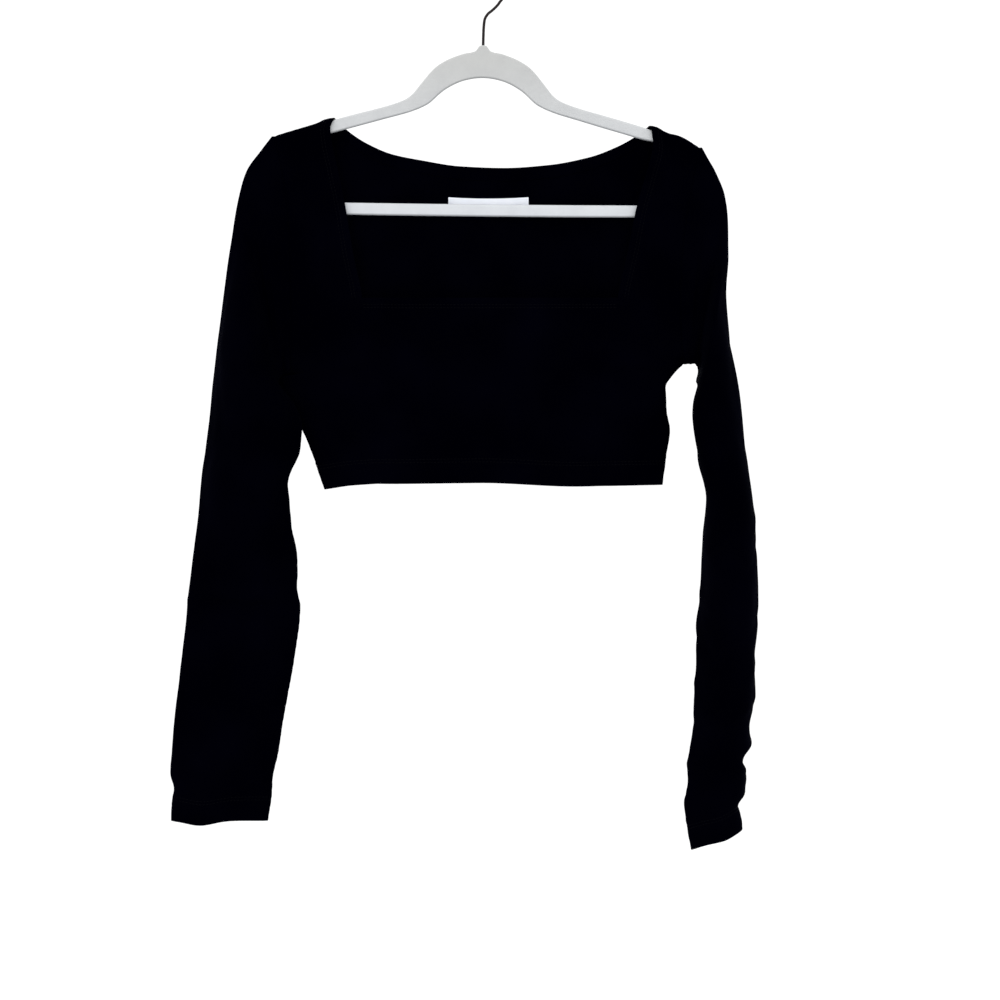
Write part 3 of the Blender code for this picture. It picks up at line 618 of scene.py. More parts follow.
def edge_columns(name):
    """A column of EDGE_COLUMNS, flowed by index into finer steps."""
    index = np.arange(len(EDGE_STEPS) + 1)
    at = np.hstack([i + np.arange(n) / n for i, n in enumerate(EDGE_STEPS)] + [[len(EDGE_STEPS)]])
    return flow({"index": index, name: EDGE_COLUMNS[name]}, name, at, "index")


def panel_form(front):
    """Rows down and columns across of a panel's outer face, smooth as in its solid.

    Each row runs from the right edge to the neck's right side, across to its left side and to the left
    edge, a share of the way between lines that flow down the garment.  y is the depth there times a share
    that falls off to the edges.  On the back, the rows above the neck's corners fan down from the neck's
    edge.
    """
    level, over_arm, underarm = panel_rows()
    closing = smooth_step((level - CLOSING_FROM) / (2 - CLOSING_FROM))
    at = edge_columns("open_at") * (1 - closing) + edge_columns("closed_at") * closing
    edge = ARMHOLE_FULLNESS * underarm
    open_depth = edge + (1 - edge) * edge_columns("open_depth")
    side_depth = open_depth * (1 - closing) + edge_columns("closed_depth") * closing
    side_depth[:, :1] = edge
    side_depth = side_depth * over_arm

    blocks = {}
    for side in ("right", "left"):
        out_x, out_drop = flow(EDGES, side + "_x", level), flow(EDGES, side + "_drop", level)
        in_x, in_drop = flow(NECK_SIDES, side + "_x", level), flow(NECK_SIDES, side + "_drop", level)
        lift = flow(SEAM_RISE, side, at, "across") * np.clip(1 - level / RISE_FADES_AT, 0, 1)
        blocks[side] = (out_x + (in_x - out_x) * at, out_drop + (in_drop - out_drop) * at - lift)

    across = np.linspace(0, 1, CENTRE_STEPS + 1)
    right_x, right_drop = (b[:, -1:] for b in blocks["right"])
    left_x, left_drop = (b[:, -1:] for b in blocks["left"])
    middle_x = right_x + (left_x - right_x) * across
    middle_drop = right_drop + (left_drop - right_drop) * across
    middle_depth = np.ones_like(middle_x)
    if not front:
        top = slice(0, CORNER_ROW + 1)
        even = (np.arange(CORNER_ROW + 1) / CORNER_ROW)[:, None]
        beside = (right_drop[top] - right_drop[0]) / (right_drop[CORNER_ROW] - right_drop[0])
        beside = np.maximum(beside, LEAST_SHARE * even)
        inward = smooth_step((np.minimum(across, 1 - across) - FAN_FROM) / (FAN_TO - FAN_FROM))
        down = even * inward + beside * (1 - inward)
        top_x = middle_x[0].copy()
        top_drop = flow(BACK_NECK, "drop", top_x, "x")
        middle_x[top] = top_x + (middle_x[CORNER_ROW] - top_x) * down
        middle_drop[top] = top_drop + (middle_drop[CORNER_ROW] - top_drop) * down
        seam_drop = middle_drop[0, 0] + (middle_drop[0, -1] - middle_drop[0, 0]) * across
        middle_depth[top] = quarter_round((middle_drop[top] - seam_drop) / OVER_ARM)

    inside = slice(1, -1)
    x = np.hstack([blocks["right"][0], middle_x[:, inside], blocks["left"][0][:, ::-1]])
    drop = np.hstack([blocks["right"][1], middle_drop[:, inside], blocks["left"][1][:, ::-1]])
    share = np.hstack([side_depth, middle_depth[:, inside], side_depth[:, ::-1]])
    hem_share = (x - x[:, :1]) / (x[:, -1:] - x[:, :1])
    rising = smooth_step((level - HEM_RISES_FROM) / (3 - HEM_RISES_FROM))
    drop = drop - flow(HEM_RISE, "rise", hem_share, "across") * rising
    depth = flow(DEPTHS, "front" if front else "back", drop, "drop") + ridges(only(FOLDS, front), x, drop)
    y = SEAM_GAP / 2 + (depth - SEAM_GAP / 2) * share
    return np.stack([x, -y if front else y, -drop], axis=-1)


def seam_relief(away, along):
    """The groove along a seam, and the small puckers that its stitches draw up beside it."""
    high, pitch, reach = 0.2, 7.7, 5.0
    wander, slow = 1.6, 23.0
    groove = bell(away, SEAM_REACH)
    pucker = np.sin(2 * math.pi * along / pitch + wander * np.sin(along / slow))
    return -SEAM_DIP * groove + high * pucker * np.exp(-away / reach) * (1 - groove)


def hem_relief(away, along, deep):
    """A turned hem: doubled cloth that stands proud, with dents under its stitches and slanting ropes."""
    proud, step = 0.4, 1.6
    dent, wide = 0.3, 0.9
    rope, pitch, slant = 0.16, 9.5, 0.5
    wander, slow = 1.3, 31.0
    height = proud * (1 - smooth_step((away - deep) / step))
    height -= dent * sum(bell(away - deep + row, wide) for row in STITCH_ROWS)
    ropes = np.sin(2 * math.pi * (along + slant * away) / pitch + wander * np.sin(along / slow))
    return height + rope * ropes * bell(away - deep / 2, 0.45 * deep)


def calm(height, away, line):
    """Creases flattened near a sewn line, by the share and within the reach that CALM gives it."""
    share, reach = CALM[line]
    return height * (1 - share * bell(away, reach))


def panel_cloth(front):
    """A panel's outer face with its creases, grooves and hems, moved out along its normals."""
    form = panel_form(front)
    out = normals(form) * (-1 if front else 1)
    x, drop = form[..., 0], -form[..., 2]
    from_right, down = run_along(form, 1), run_along(form, 0)
    to_side = np.minimum(from_right, from_right[:, -1:] - from_right)
    to_hem = down[-1] - down
    beside_neck = np.zeros(form.shape[:2], bool)
    beside_neck[:, MIDDLE] = True

    height = ridges(FRONT_CREASES if front else BACK_CREASES, x, drop) + waves(x, drop)
    for away, line in ((to_hem, "hem"), (to_side, "side"), (down, "shoulder")):
        height = calm(height, away, line)
    height += seam_relief(to_side, drop)
    height += np.where(beside_neck, 0, SHOULDER_SHARE * seam_relief(down, x))
    height += hem_relief(to_hem, x, HEM_DEPTH)
    if front:
        right_of, left_of = from_right[:, NECK_COLUMN, None], from_right[:, -NECK_COLUMN - 1, None]
        beside = np.maximum(right_of - from_right, 0) + np.maximum(from_right - left_of, 0)
        below = np.maximum(down - down[CORNER_ROW], 0)
        away = np.hypot(beside, below)
        along = np.where(below > beside, x, drop)
    else:
        away, along = np.where(beside_neck, down, FAR), x
    height += NECK_HEM_SHARE * hem_relief(away, along, NECK_HEM_DEPTH)
    return form, form + out * height[..., None]


def close_seams(front, back):
    """Moves both panels' points along the shoulder and side seams to their mean, so that the seams close."""
    seam = np.zeros(front.shape[:2], bool)
    seam[0, : NECK_COLUMN + 1] = seam[0, -NECK_COLUMN - 1 :] = True
    seam[ARMPIT_ROW:, [0, -1]] = True
    middle = (front[seam] + back[seam]) / 2
    for panel, side in ((front, -1), (back, 1)):
        panel[seam] = middle
        panel[seam, 1] += side * SEAM_GAP / 2


def armhole_edge(front, back, column):
    """The armhole's edge on the front and on the back, with the front's two ends put between both."""
    rows = slice(0, ARMPIT_ROW + 1, 2)
    ahead, behind = front[rows, column].copy(), back[rows, column].copy()
    for end in (0, -1):
        ahead[end] = (ahead[end] + behind[end]) / 2
    return ahead, behind


def ring_of(ahead, behind):
    """A ring of points: down one line and back up the other."""
    return np.vstack([ahead, behind[-2:0:-1]])


def armhole_ring(front, back, column, outward, away):
    """The armhole's edge round both panels, moved away from them in their own plane.

    Where the rows turn over the arm, it moves like the first point past that turn.
    """
    turned = TURN_STEPS // 2 + 1
    halves = armhole_edge(front, back, column)
    for half in halves:
        half[0, 1] = half[-1, 1] = 0
        along = np.gradient(half[:, [0, 2]], axis=0)
        along[:turned] = along[turned]
        along = unit(along)
        half[:, 0] -= outward * along[:, 1] * away
        half[:, 2] += outward * along[:, 0] * away
    return ring_of(*halves)


def fitted_sections(count, width, flat, half, turn):
    """Sections of a flattened tube, one for each ring, each curled just so far that it fits its width.

    The tube's middle line keeps its length, and its slope runs from +curl/2 to -curl/2 along it as a tanh.
    Its points lie half a thickness off that line on both sides and round both ends.
    """
    reach = ((flat - math.pi * half) / 2)[:, None]
    bend = np.tanh(CURL_SHARPNESS * np.linspace(-1, 1, CURL_STEPS + 1)) / (2 * math.tanh(CURL_SHARPNESS))
    end = np.radians(np.arange(0, 91, END_STEP))
    ends = len(end)
    at = np.hstack([np.full(ends, -1), np.linspace(-1, 1, count - 2 * ends + 2)[1:-1], np.full(ends, 1)])
    rise, past = np.ones(count), np.zeros(count)
    rise[:ends], rise[-ends:] = np.sin(end), np.sin(end[::-1])
    past[:ends], past[-ends:] = -np.cos(end), np.cos(end[::-1])
    place = (at + 1) * CURL_STEPS / 2
    before = np.minimum(place.astype(int), CURL_STEPS - 1)
    share = place - before

    def between(values):
        return values[:, before] * (1 - share) + values[:, before + 1] * share

    def summed(steps):
        start = np.zeros((len(steps), 1))
        return np.hstack([start, np.cumsum(steps, axis=1)]) * reach / (CURL_STEPS / 2)

    def rings(curl):
        slope = curl[:, None] * bend
        steps = (slope[:, 1:] + slope[:, :-1]) / 2
        aside, ahead = summed(np.cos(steps)), summed(-np.sin(steps))
        aside -= aside[:, -1:] / 2
        here = between(slope)
        c, s = np.cos(here), np.sin(here)
        x, y = between(aside), between(ahead)
        thick = half[:, None]
        face, rear = (
            (x + thick * (past * c + side * rise * s), y + thick * (side * rise * c - past * s))
            for side in (1, -1)
        )
        ring_x, ring_y = (np.hstack([ahead, behind[:, -2:0:-1]]) for ahead, behind in zip(face, rear))
        c, s = np.cos(turn)[:, None], np.sin(turn)[:, None]
        return ring_x * c - ring_y * s, ring_x * s + ring_y * c

    low, high = np.zeros_like(width), np.full_like(width, math.pi)
    for _ in range(CURL_HALVINGS):
        curl = (low + high) / 2
        x, y = rings(curl)
        wide = np.ptp(x, axis=1) > width
        low, high = np.where(wide, curl, low), np.where(wide, high, curl)
    return x - (x.max(1, keepdims=True) + x.min(1, keepdims=True)) / 2, y


def sleeve_form(rows, armhole, start):
    """Rings down a sleeve, each in the plane through its two sides and square to the front view.

    The first is the armhole's edge.  Over the first rings the armhole's own form fades out and the curled
    section fades in.  The sizes flow between the table's rows by the way down the sleeve, and the cuff's
    lower edge sags.
    """
    inner_at = len(armhole) // 2
    own_ends = (start[0, 0], -start[0, 2], start[inner_at, 0], -start[inner_at, 2])
    names = list(rows)
    first = list(own_ends) + [rows[name][0] for name in names[4:]]
    sizes = {name: np.hstack([value, rows[name]]) for name, value in zip(names, first)}
    outer = np.hypot(np.diff(sizes["outer_x"]), np.diff(sizes["outer_drop"]))
    inner = np.hypot(np.diff(sizes["inner_x"]), np.diff(sizes["inner_drop"]))
    sizes["run"] = np.hstack([0, np.cumsum(OUTER_WEIGHT * outer + (1 - OUTER_WEIGHT) * inner)])
    run = np.linspace(0, sizes["run"][-1], round(sizes["run"][-1] / RING_STEP))
    index = np.interp(run, sizes["run"], np.arange(-1, len(outer)))
    now = {name: flow(sizes, name, run, "run") for name in names}

    outer = np.stack([now["outer_x"], 0 * run, -now["outer_drop"]], 1)
    inner = np.stack([now["inner_x"], 0 * run, -now["inner_drop"]], 1)
    width = np.linalg.norm(inner - outer, axis=1)
    level = (inner - outer) / width[:, None]
    square = np.stack([-level[:, 2], 0 * run, level[:, 0]], 1)
    x, y = fitted_sections(inner_at + 1, width, now["flat"], now["half"], np.radians(now["turn"]))

    top, low = armhole[0], armhole[inner_at]
    span = np.linalg.norm(low - top)
    axis = (low - top) / span
    along = (armhole - (top + low) / 2) @ axis / span
    bow = (armhole - top) @ np.array([-axis[2], 0, axis[0]])
    own = smooth_step((index + 1) / CAP_RINGS)[:, None]
    aside = x * own + along * width[:, None] * (1 - own)
    ahead = (y + now["ahead"][:, None]) * own - armhole[:, 1] * (1 - own)
    points = ((outer + inner) / 2)[:, None] + aside[..., None] * level[:, None]
    points += (bow * (1 - own) ** 2)[..., None] * square[:, None]
    side = math.copysign(1, top[0])
    deep, middle, wide = CUFF_SAGS[side]
    sag = deep * bell(x / width[:, None] + 0.5 - middle, wide) * bell(run[-1] - run, CUFF_SAG_REACH)[:, None]
    points += side * sag[..., None] * square[:, None]
    points[..., 1] = -ahead
    return np.concatenate([armhole[None], (armhole[None] + points[:1]) / 2, points])


def sleeve_cloth(rows, creases, front, back, column):
    """A sleeve's outer face with its creases, grooves and hem.  front and back are (form, cloth) pairs.

    Creases and waves are lower towards both sides of a face.  The first ring is moved onto the panels' own
    edges, and that move fades out within a few millimetres.
    """
    outward = -1 if column == 0 else 1
    rings = [armhole_ring(front[0], back[0], column, outward, away) for away in (SEAM_GAP, CAP_START)]
    form = sleeve_form(rows, *rings)
    out = normals(form, closed=True) * outward
    count = form.shape[1]
    half = count // 2
    place = np.arange(count)
    across = np.where(place <= half, place, count - place) / half * FACE_SPAN
    down = run_along(form, 0)
    down = (down[:, :1] + down[:, half : half + 1]) / 2
    u, v, to_cuff = (np.broadcast_to(part, form.shape[:2]) for part in (across, down, down[-1] - down))

    on_front, least = place <= half, 0.25
    height = np.where(on_front, ridges(only(creases, 1), u, v), ridges(only(creases, 0), u, v))
    height += waves(u * np.where(on_front, 1, -1) + SLEEVE_WAVES[0], v + SLEEVE_WAVES[1])
    height *= least + (1 - least) * np.sin(math.pi * across / FACE_SPAN) ** 0.5
    height = calm(calm(height, to_cuff, "hem"), v, "armhole")
    height += seam_relief(UNDERARM_SCALE * np.abs(u - FACE_SPAN), v)
    height += seam_relief(v, u)
    height += hem_relief(to_cuff, u, HEM_DEPTH)
    cloth = form + out * height[..., None]

    edge = ring_of(*armhole_edge(front[1], back[1], column))
    return cloth + (edge - cloth[:1]) * bell(v, JOIN_REACH)[..., None]


def walk(lines, distances):
    """Points at these distances along each line from its start, with all that stands beside the points."""
    run = run_along(lines[..., :3], 1)
    after = (run[:, :, None] <= distances).sum(1).clip(1, lines.shape[1] - 1)
    index = np.arange(len(lines))[:, None]
    low, high = run[index, after - 1], run[index, after]
    share = ((distances - low) / np.maximum(high - low, 1e-9))[..., None]
    return lines[index, after - 1] * (1 - share) + lines[index, after] * share


def along_path(path, places):
    """A path's points at these distances along it."""
    run = run_along(path[None, :, :3], 1)[0]
    return np.stack([np.interp(places, run, column) for column in path.T], 1)


def turned_hem(lines, deep):
    """The cloth turned under along an edge: a half round over the edge and an allowance up the inside.

    lines run from the edge into the cloth, with the outward normals beside their points.  The section is a
    list of distances from the edge and offsets along the normal: it starts sunk in the face, stands a hair
    proud round the edge, and its raw edge meets the cloth's inside.
    """
    tuck, past = 3.0, 0.3
    sunk, proud, lift = 0.1, 0.05, 0.25
    turn = np.linspace(math.pi / 2, -math.pi / 2, 9)
    round_at = FOLD_RADIUS * (1 - np.cos(turn))
    round_off = FOLD_RADIUS * (np.sin(turn) - 1) + proud
    flat_at = np.linspace(FOLD_RADIUS, deep, 8)[1:]
    low = round_off[-1]
    at = np.hstack([tuck, round_at, flat_at, deep + past, deep + past])
    off = np.hstack([-sunk, round_off, np.full(len(flat_at), low), low + lift, -SHELL])
    places = walk(lines, at)
    return places[..., :3] + places[..., 3:] * off[:, None]


def stitch_row(path, pitch=STITCH_PITCH, length=STITCH_LENGTH, radius=THREAD_RADIUS):
    """Stitches along a path of points with normals: capsules of three rings that rise out of the cloth.

    A stitch's rings stand at shares of its length, each with a radius and a height off the cloth, and its
    ends sink into the cloth.
    """
    total = run_along(path[None, :, :3], 1)[0, -1]
    middles = np.arange(pitch / 2, total, pitch)[:, None]
    start, middle, end = (along_path(path, (middles + shift * length).ravel()) for shift in (-0.5, 0, 0.5))
    axis = end[:, :3] - start[:, :3]
    out = unit(middle[:, 3:])
    side = unit(np.cross(axis, out))
    turn = np.arange(STITCH_SIDES) * 2 * math.pi / STITCH_SIDES
    ring = np.cos(turn)[:, None] * side[:, None] + np.sin(turn)[:, None] * out[:, None]
    sunk = 0.6 * radius * out[:, None]
    first, last = (points[:, None, :3] - sunk for points in (start, end))
    rings = [
        (start[:, :3] + axis * place + out * radius * high)[:, None] + radius * wide * ring
        for place, wide, high in ((0.12, 0.8, 0.0), (0.5, 1.0, 0.7), (0.88, 0.8, 0.0))
    ]
    return np.concatenate([first, *rings, last], axis=1)


def stitch_faces(count):
    """Every stitch's faces: fans at both ends and two bands between its three rings."""
    i = np.arange(STITCH_SIDES)
    j = (i + 1) % STITCH_SIDES
    rings = 1 + STITCH_SIDES * np.arange(3)
    each = rings[-1] + STITCH_SIDES + 1
    fans = np.vstack([
        np.stack([0 * i, 1 + j, 1 + i], 1),
        np.stack([0 * i + each - 1, rings[-1] + i, rings[-1] + j], 1),
    ])
    bands = [np.stack([low + i, low + j, high + j, high + i], 1) for low, high in zip(rings, rings[1:])]
    shift = each * np.arange(count)[:, None, None]
    return (fans + shift).reshape(-1, 3).tolist() + (np.vstack(bands) + shift).reshape(-1, 4).tolist()


def grid(rows, columns, closed=False):
    """Four-sided faces between neighbouring rows and columns, and the same faces with the ring unrolled."""
    row, column = np.mgrid[0 : rows - 1, 0 : columns if closed else columns - 1]

    def corners(width, after):
        first, second = row * width, (row + 1) * width
        return np.stack([first + column, first + after, second + after, second + column], -1)

    return corners(columns, (column + 1) % columns), corners(columns + closed, column + 1)


def unrolled(points, closed=False):
    """How far each point lies across and down the cloth, with one more column where a ring is closed."""
    if closed:
        points = np.concatenate([points, points[:, :1]], axis=1)
    across = run_along(points, 1)
    down = run_along(points, 0)
    middle = across[:, across.shape[1] // 2, None]
    return np.stack([across - middle, -np.broadcast_to(down.mean(1, keepdims=True), across.shape)], -1)


def put(name, points, faces, finish, places=None, loops=None):
    """A piece at the origin: points in millimetres, faces, a finish and a map of the cloth in metres."""
    mesh = bpy.data.meshes.new(name)
    mesh.from_pydata((points.reshape(-1, 3) * MM).tolist(), [], faces)
    if places is not None:
        layer = mesh.uv_layers.new(name="cloth")
        layer.data.foreach_set("uv", (places.reshape(-1, 2)[loops.ravel()] * MM).ravel())
    mesh.materials.append(finish)
    mesh.shade_smooth()
    piece = bpy.data.objects.new(name, mesh)
    bpy.context.scene.collection.objects.link(piece)
    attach(piece, "root")
    return piece


def put_grid(name, points, finish, flip=False, closed=False, keep=None):
    """A grid of points as a piece, its faces turned over where flip says so."""
    faces, loops = grid(*points.shape[:2], closed)
    if keep is not None:
        faces, loops = faces[keep], loops[keep]
    faces, loops = faces.reshape(-1, 4), loops.reshape(-1, 4)
    if flip:
        faces, loops = faces[:, ::-1], loops[:, ::-1]
    places = unrolled(points, closed)
    used, faces = np.unique(faces, return_inverse=True)
    return put(name, points.reshape(-1, 3)[used], faces.reshape(-1, 4).tolist(), finish, places, loops)


def thicken(piece, thickness):
    """Gives a face of cloth its thickness, inwards, with a rim."""
    wall = piece.modifiers.new("cloth", "SOLIDIFY")
    wall.thickness = thickness * MM
    wall.offset = -1


def linear(code):
    """An sRGB hex colour as linear red, green, blue and alpha."""
    channels = np.array([int(code[i : i + 2], 16) for i in (1, 3, 5)]) / 255
    low, high = channels / 12.92, ((channels + 0.055) / 1.055) ** 2.4
    return (*np.where(channels <= 0.04045, low, high).tolist(), 1.0)


def add(tree, kind, settings=None, **inputs):
    """Adds a node with its settings and its inputs.

    An input, named or numbered as i0, i1 and on, gets a value, a socket, or a node for its first output.
    """
    node = tree.nodes.new("ShaderNode" + kind)
    for name, value in (settings or {}).items():
        setattr(node, name, value)
    for name, value in inputs.items():
        socket = node.inputs[int(name[1:]) if name[1:].isdigit() else name.replace("_", " ")]
        if isinstance(value, bpy.types.Node):
            value = value.outputs[0]
        if isinstance(value, bpy.types.NodeSocket):
            tree.links.new(value, socket)
        else:
            socket.default_value = value
    return node


def new_finish(name):
    """An empty material, its tree, and the place on the piece that its patterns read."""
    finish = bpy.data.materials.new(name)
    finish.use_nodes = True
    tree = finish.node_tree
    tree.nodes.clear()
    return finish, tree, add(tree, "TexCoord").outputs["Object"]


def set_stops(ramp, *stops):
    """Sets a colour ramp's stops, each a position and an sRGB hex colour."""
    for element, (position, code) in zip(ramp.color_ramp.elements, stops):
        element.position, element.color = position, linear(code)


def with_shader(finish, **inputs):
    """Ends a material's tree in its shader, with these inputs, and returns the material."""
    tree = finish.node_tree
    add(tree, "OutputMaterial", Surface=add(tree, "BsdfPrincipled", **inputs))
    return finish


def knit_finish(settings):
    """Black viscose and elastane single jersey, circular knitted and dyed.

    The eye gets a matt, almost lightless black, with a faint cool bloom where the light grazes it, and close
    to, fine upright columns of V-shaped loops.  Real columns stand about 0.7 mm apart: here they are drawn as
    coarse as the settings say, so that they show.
    """
    finish, tree, where = new_finish("black_viscose_jersey_knit")
    wale = settings.wale
    cloth = add(tree, "SeparateXYZ", Vector=add(tree, "UVMap", {"uv_map": "cloth"})).outputs
    column = add(tree, "Math", {"operation": "PINGPONG"}, i0=cloth["X"], i1=wale / 2)
    row = add(tree, "Math", {"operation": "MULTIPLY_ADD"}, i0=column, i1=0.9, i2=cloth["Y"])
    course, rib = (
        add(tree, "Math", {"operation": "SINE"},
            i0=add(tree, "Math", {"operation": "MULTIPLY"}, i0=line, i1=2 * math.pi / pitch))
        for line, pitch in ((row, 0.8 * wale), (column, wale))
    )
    loops = add(tree, "Math", {"operation": "MULTIPLY_ADD"}, i0=course, i1=0.35, i2=rib)
    fuzz = add(tree, "TexNoise", Vector=where, Scale=900.0, Detail=3.0, Roughness=0.6)
    relief = add(tree, "Math", {"operation": "MULTIPLY_ADD"}, i0=fuzz, i1=1.2, i2=loops)
    bump = add(tree, "Bump", Strength=0.35, Distance=0.00012, Height=relief)
    cloud = add(tree, "TexNoise", Vector=where, Scale=14.0, Detail=2.0, Roughness=0.5)
    tone = add(tree, "ValToRGB", Fac=cloud)
    set_stops(tone, (0.35, "#000003"), (0.7, "#010106"))
    return with_shader(finish, Base_Color=tone, Normal=bump, Roughness=0.7, Specular_IOR_Level=0.0005,
                       Sheen_Weight=0.002, Sheen_Roughness=0.45, Sheen_Tint=linear("#a9b4ff"))


def thread_finish(name, code):
    """Spun polyester sewing thread: a dull gleam along each stitch, and fine diagonal twist."""
    finish, tree, where = new_finish(name)
    turned = add(tree, "Mapping", Vector=where, Rotation=(0.5, 0.9, 0.3))
    twist = add(tree, "TexWave", {"wave_type": "BANDS"},
                Vector=turned, Scale=700.0, Distortion=1.5, Detail=1.0)
    bump = add(tree, "Bump", Strength=0.4, Distance=0.00005, Height=twist.outputs["Fac"])
    return with_shader(finish, Base_Color=linear(code), Normal=bump, Roughness=0.6, Specular_IOR_Level=0.03)


def satin_finish():
    """White polyester satin tape, woven with long floats: a soft gleam across fine ribs."""
    finish, tree, where = new_finish("white_woven_satin_tape")
    ribs = add(tree, "TexWave", {"wave_type": "BANDS", "bands_direction": "Z"},
               Vector=where, Scale=350.0, Distortion=0.6, Detail=2.0)
    bump = add(tree, "Bump", Strength=0.3, Distance=0.00006, Height=ribs.outputs["Fac"])
    tone = add(tree, "ValToRGB", Fac=add(tree, "TexNoise", Vector=where, Scale=120.0, Detail=3.0))
    set_stops(tone, (0.0, "#dde1ea"), (1.0, "#e8ebf1"))
    return with_shader(finish, Base_Color=tone, Normal=bump, Roughness=0.42)


def flock_finish(code):
    """Nylon velvet flock on injection-moulded polystyrene: short dense fibres, so flat, soft and dry.

    The fibres are about 0.5 mm long and 0.02 mm thick, too fine to show, so their clumps are drawn at 0.4 mm.
    Painted light makes the flock a little paler towards the bar; painted shade darkens edges that face down.
    """
    finish, tree, where = new_finish("pale_grey_velvet_flock")
    clumps = add(tree, "TexNoise", Vector=where, Scale=2400.0, Detail=4.0, Roughness=0.7)
    brushed = add(tree, "TexNoise", Vector=where, Scale=60.0, Detail=3.0, Roughness=0.6)
    patches = add(tree, "Math", {"operation": "MULTIPLY"}, i0=brushed, i1=0.4)
    mottle = add(tree, "Math", {"operation": "MULTIPLY_ADD"}, i0=clumps, i1=0.6, i2=patches)
    shade = add(tree, "ValToRGB", Fac=mottle)
    set_stops(shade, (0.36, "#e4e4e6"), (0.6, "#ffffff"))

    # painted light: the flock's colour turns a little paler towards the bar, which is lit more brightly
    height = add(tree, "SeparateXYZ", Vector=where).outputs["Z"]
    painted_bar_light = add(tree, "MapRange", Value=height, From_Min=-0.09, From_Max=-0.21)
    pale = add(tree, "MixRGB", Fac=painted_bar_light, Color1=linear(code), Color2=linear("#cacdd1"))
    # painted shade: edges that face down are darkened in the colour, as the shade that falls under them
    facing = add(tree, "NewGeometry").outputs["Normal"]
    upright = add(tree, "SeparateXYZ", Vector=facing).outputs["Z"]
    under = add(tree, "MapRange", Value=upright, From_Min=-0.1, From_Max=-0.8)
    multiply = {"blend_type": "MULTIPLY"}
    tone = add(tree, "MixRGB", multiply, Fac=0.4, Color1=pale, Color2=shade)
    painted_underside_shade = add(tree, "MixRGB", multiply, Fac=under, Color1=tone, Color2=linear("#c4c5c7"))
    bump = add(tree, "Bump", Strength=0.5, Distance=0.0002, Height=clumps)
    return with_shader(finish, Base_Color=painted_underside_shade, Normal=bump, Roughness=0.95, Specular_IOR_Level=0.15,
                       Sheen_Weight=0.12, Sheen_Roughness=0.6)


def wire_finish(code):
    """Drawn steel wire, black-nickel plated: a dark mirror with faint draw lines and small dulled spots."""
    finish, tree, where = new_finish("black_nickel_plated_steel_wire")
    spots = add(tree, "TexNoise", Vector=where, Scale=500.0, Detail=3.0)
    dull = add(tree, "MapRange", Value=spots, From_Min=0.3, From_Max=0.75, To_Min=0.22, To_Max=0.42)
    lines = add(tree, "TexNoise", Vector=where, Scale=1800.0, Detail=2.0)
    bump = add(tree, "Bump", Strength=0.15, Distance=0.00005, Height=lines)
    return with_shader(finish, Base_Color=linear(code), Normal=bump, Roughness=dull, Metallic=1.0)


def floor_finish():
    """White studio paper, uncoated: even and matt, with the faintest mottle."""
    finish, tree, where = new_finish("white_studio_paper")
    tone = add(tree, "ValToRGB", Fac=add(tree, "TexNoise", Vector=where, Scale=3.0, Detail=2.0))
    set_stops(tone, (0.0, "#e0e0e0"), (1.0, "#e4e4e4"))
    return with_shader(finish, Base_Color=tone, Roughness=1.0, Specular_IOR_Level=0.0)


class ClothSettings(bpy.types.PropertyGroup):
    """Sizes of the jersey."""

    wale: FloatProperty(name="Column spacing", description="How far apart the knit's columns are drawn",
                        default=0.0014, min=0.0005, max=0.01, unit="LENGTH")
    shell: FloatProperty(name="Thickness", description="How thick the jersey is drawn",
                         default=SHELL * MM, min=0.0002, max=0.002, unit="LENGTH")


class HangerSettings(bpy.types.PropertyGroup):
    """Colours and fineness of the hanger."""

    flock: StringProperty(name="Flock", description="The flock's colour as an sRGB hex code",
                          default="#b8b9b8")
    wire: StringProperty(name="Wire", description="The wire's colour as an sRGB hex code",
                         default="#2a2626")
    steps: IntProperty(name="Steps", description="Rings between two rows of the hanger's outline",
                       default=6, min=1, max=12)


class StageSettings(bpy.types.PropertyGroup):
    """The studio: its light and the camera's place."""

    world: FloatProperty(name="Surround", description="Brightness of the white surround", default=1.06, min=0)
    overhead: FloatProperty(name="Overhead", description="Brightness of the surround overhead",
                            default=1.6, min=0)
    key: FloatProperty(name="Key light", description="Power of each soft light", default=14.0, min=0)
    distance: FloatProperty(name="Camera distance", description="From the camera to the hanger's plane",
                            default=4.5, min=1, unit="LENGTH")
    aim: FloatVectorProperty(name="Aim", description="The point that the camera faces",
                             default=(0.01564, 0.0, -0.49459), subtype="TRANSLATION")
    width: FloatProperty(name="View width", description="How much the picture spans at the hanger's plane",
                         default=0.92, min=0.1, unit="LENGTH")


@functools.cache
def panels():
    """Both panels as (form, cloth) pairs, their seams closed."""
    front, back = panel_cloth(True), panel_cloth(False)
    close_seams(front[1], back[1])
    return front, back


@functools.cache
def knit():
    """The jersey's finish, made once for every piece of it."""
    return knit_finish(bpy.context.scene.crop_top_cloth)


@functools.cache
def black_thread():
    """The black thread's finish, made once for every seam."""
    return thread_finish("black_spun_polyester_thread", "#050508")


def with_normals(points, side, closed=False):
    """A grid's points with its outward normals beside them."""
    return np.concatenate([points, side * normals(points, closed)], axis=-1)


def pulled_back(points, edge, inner):
    """Room for the round fold at an edge: its points drawn in along the cloth, by its radius at most."""
    most = 0.6
    points = points.copy()
    step = points[inner] - points[edge]
    length = np.linalg.norm(step, axis=-1, keepdims=True)
    points[edge] += step * np.minimum(FOLD_RADIUS / np.maximum(length, 1e-6), most)
    return points


def from_edge(lined):
    """Lines that run from the last row up into the cloth, past any hem."""
    return lined[::-1][:HEM_ROWS].swapaxes(0, 1)


def hem_piece(name, lines, deep, flip, closed=False):
    """A turned hem as a piece that goes with its cloth."""
    points = turned_hem(lines, deep).swapaxes(0, 1)
    return put_grid(name, points, knit(), flip=flip, closed=closed)


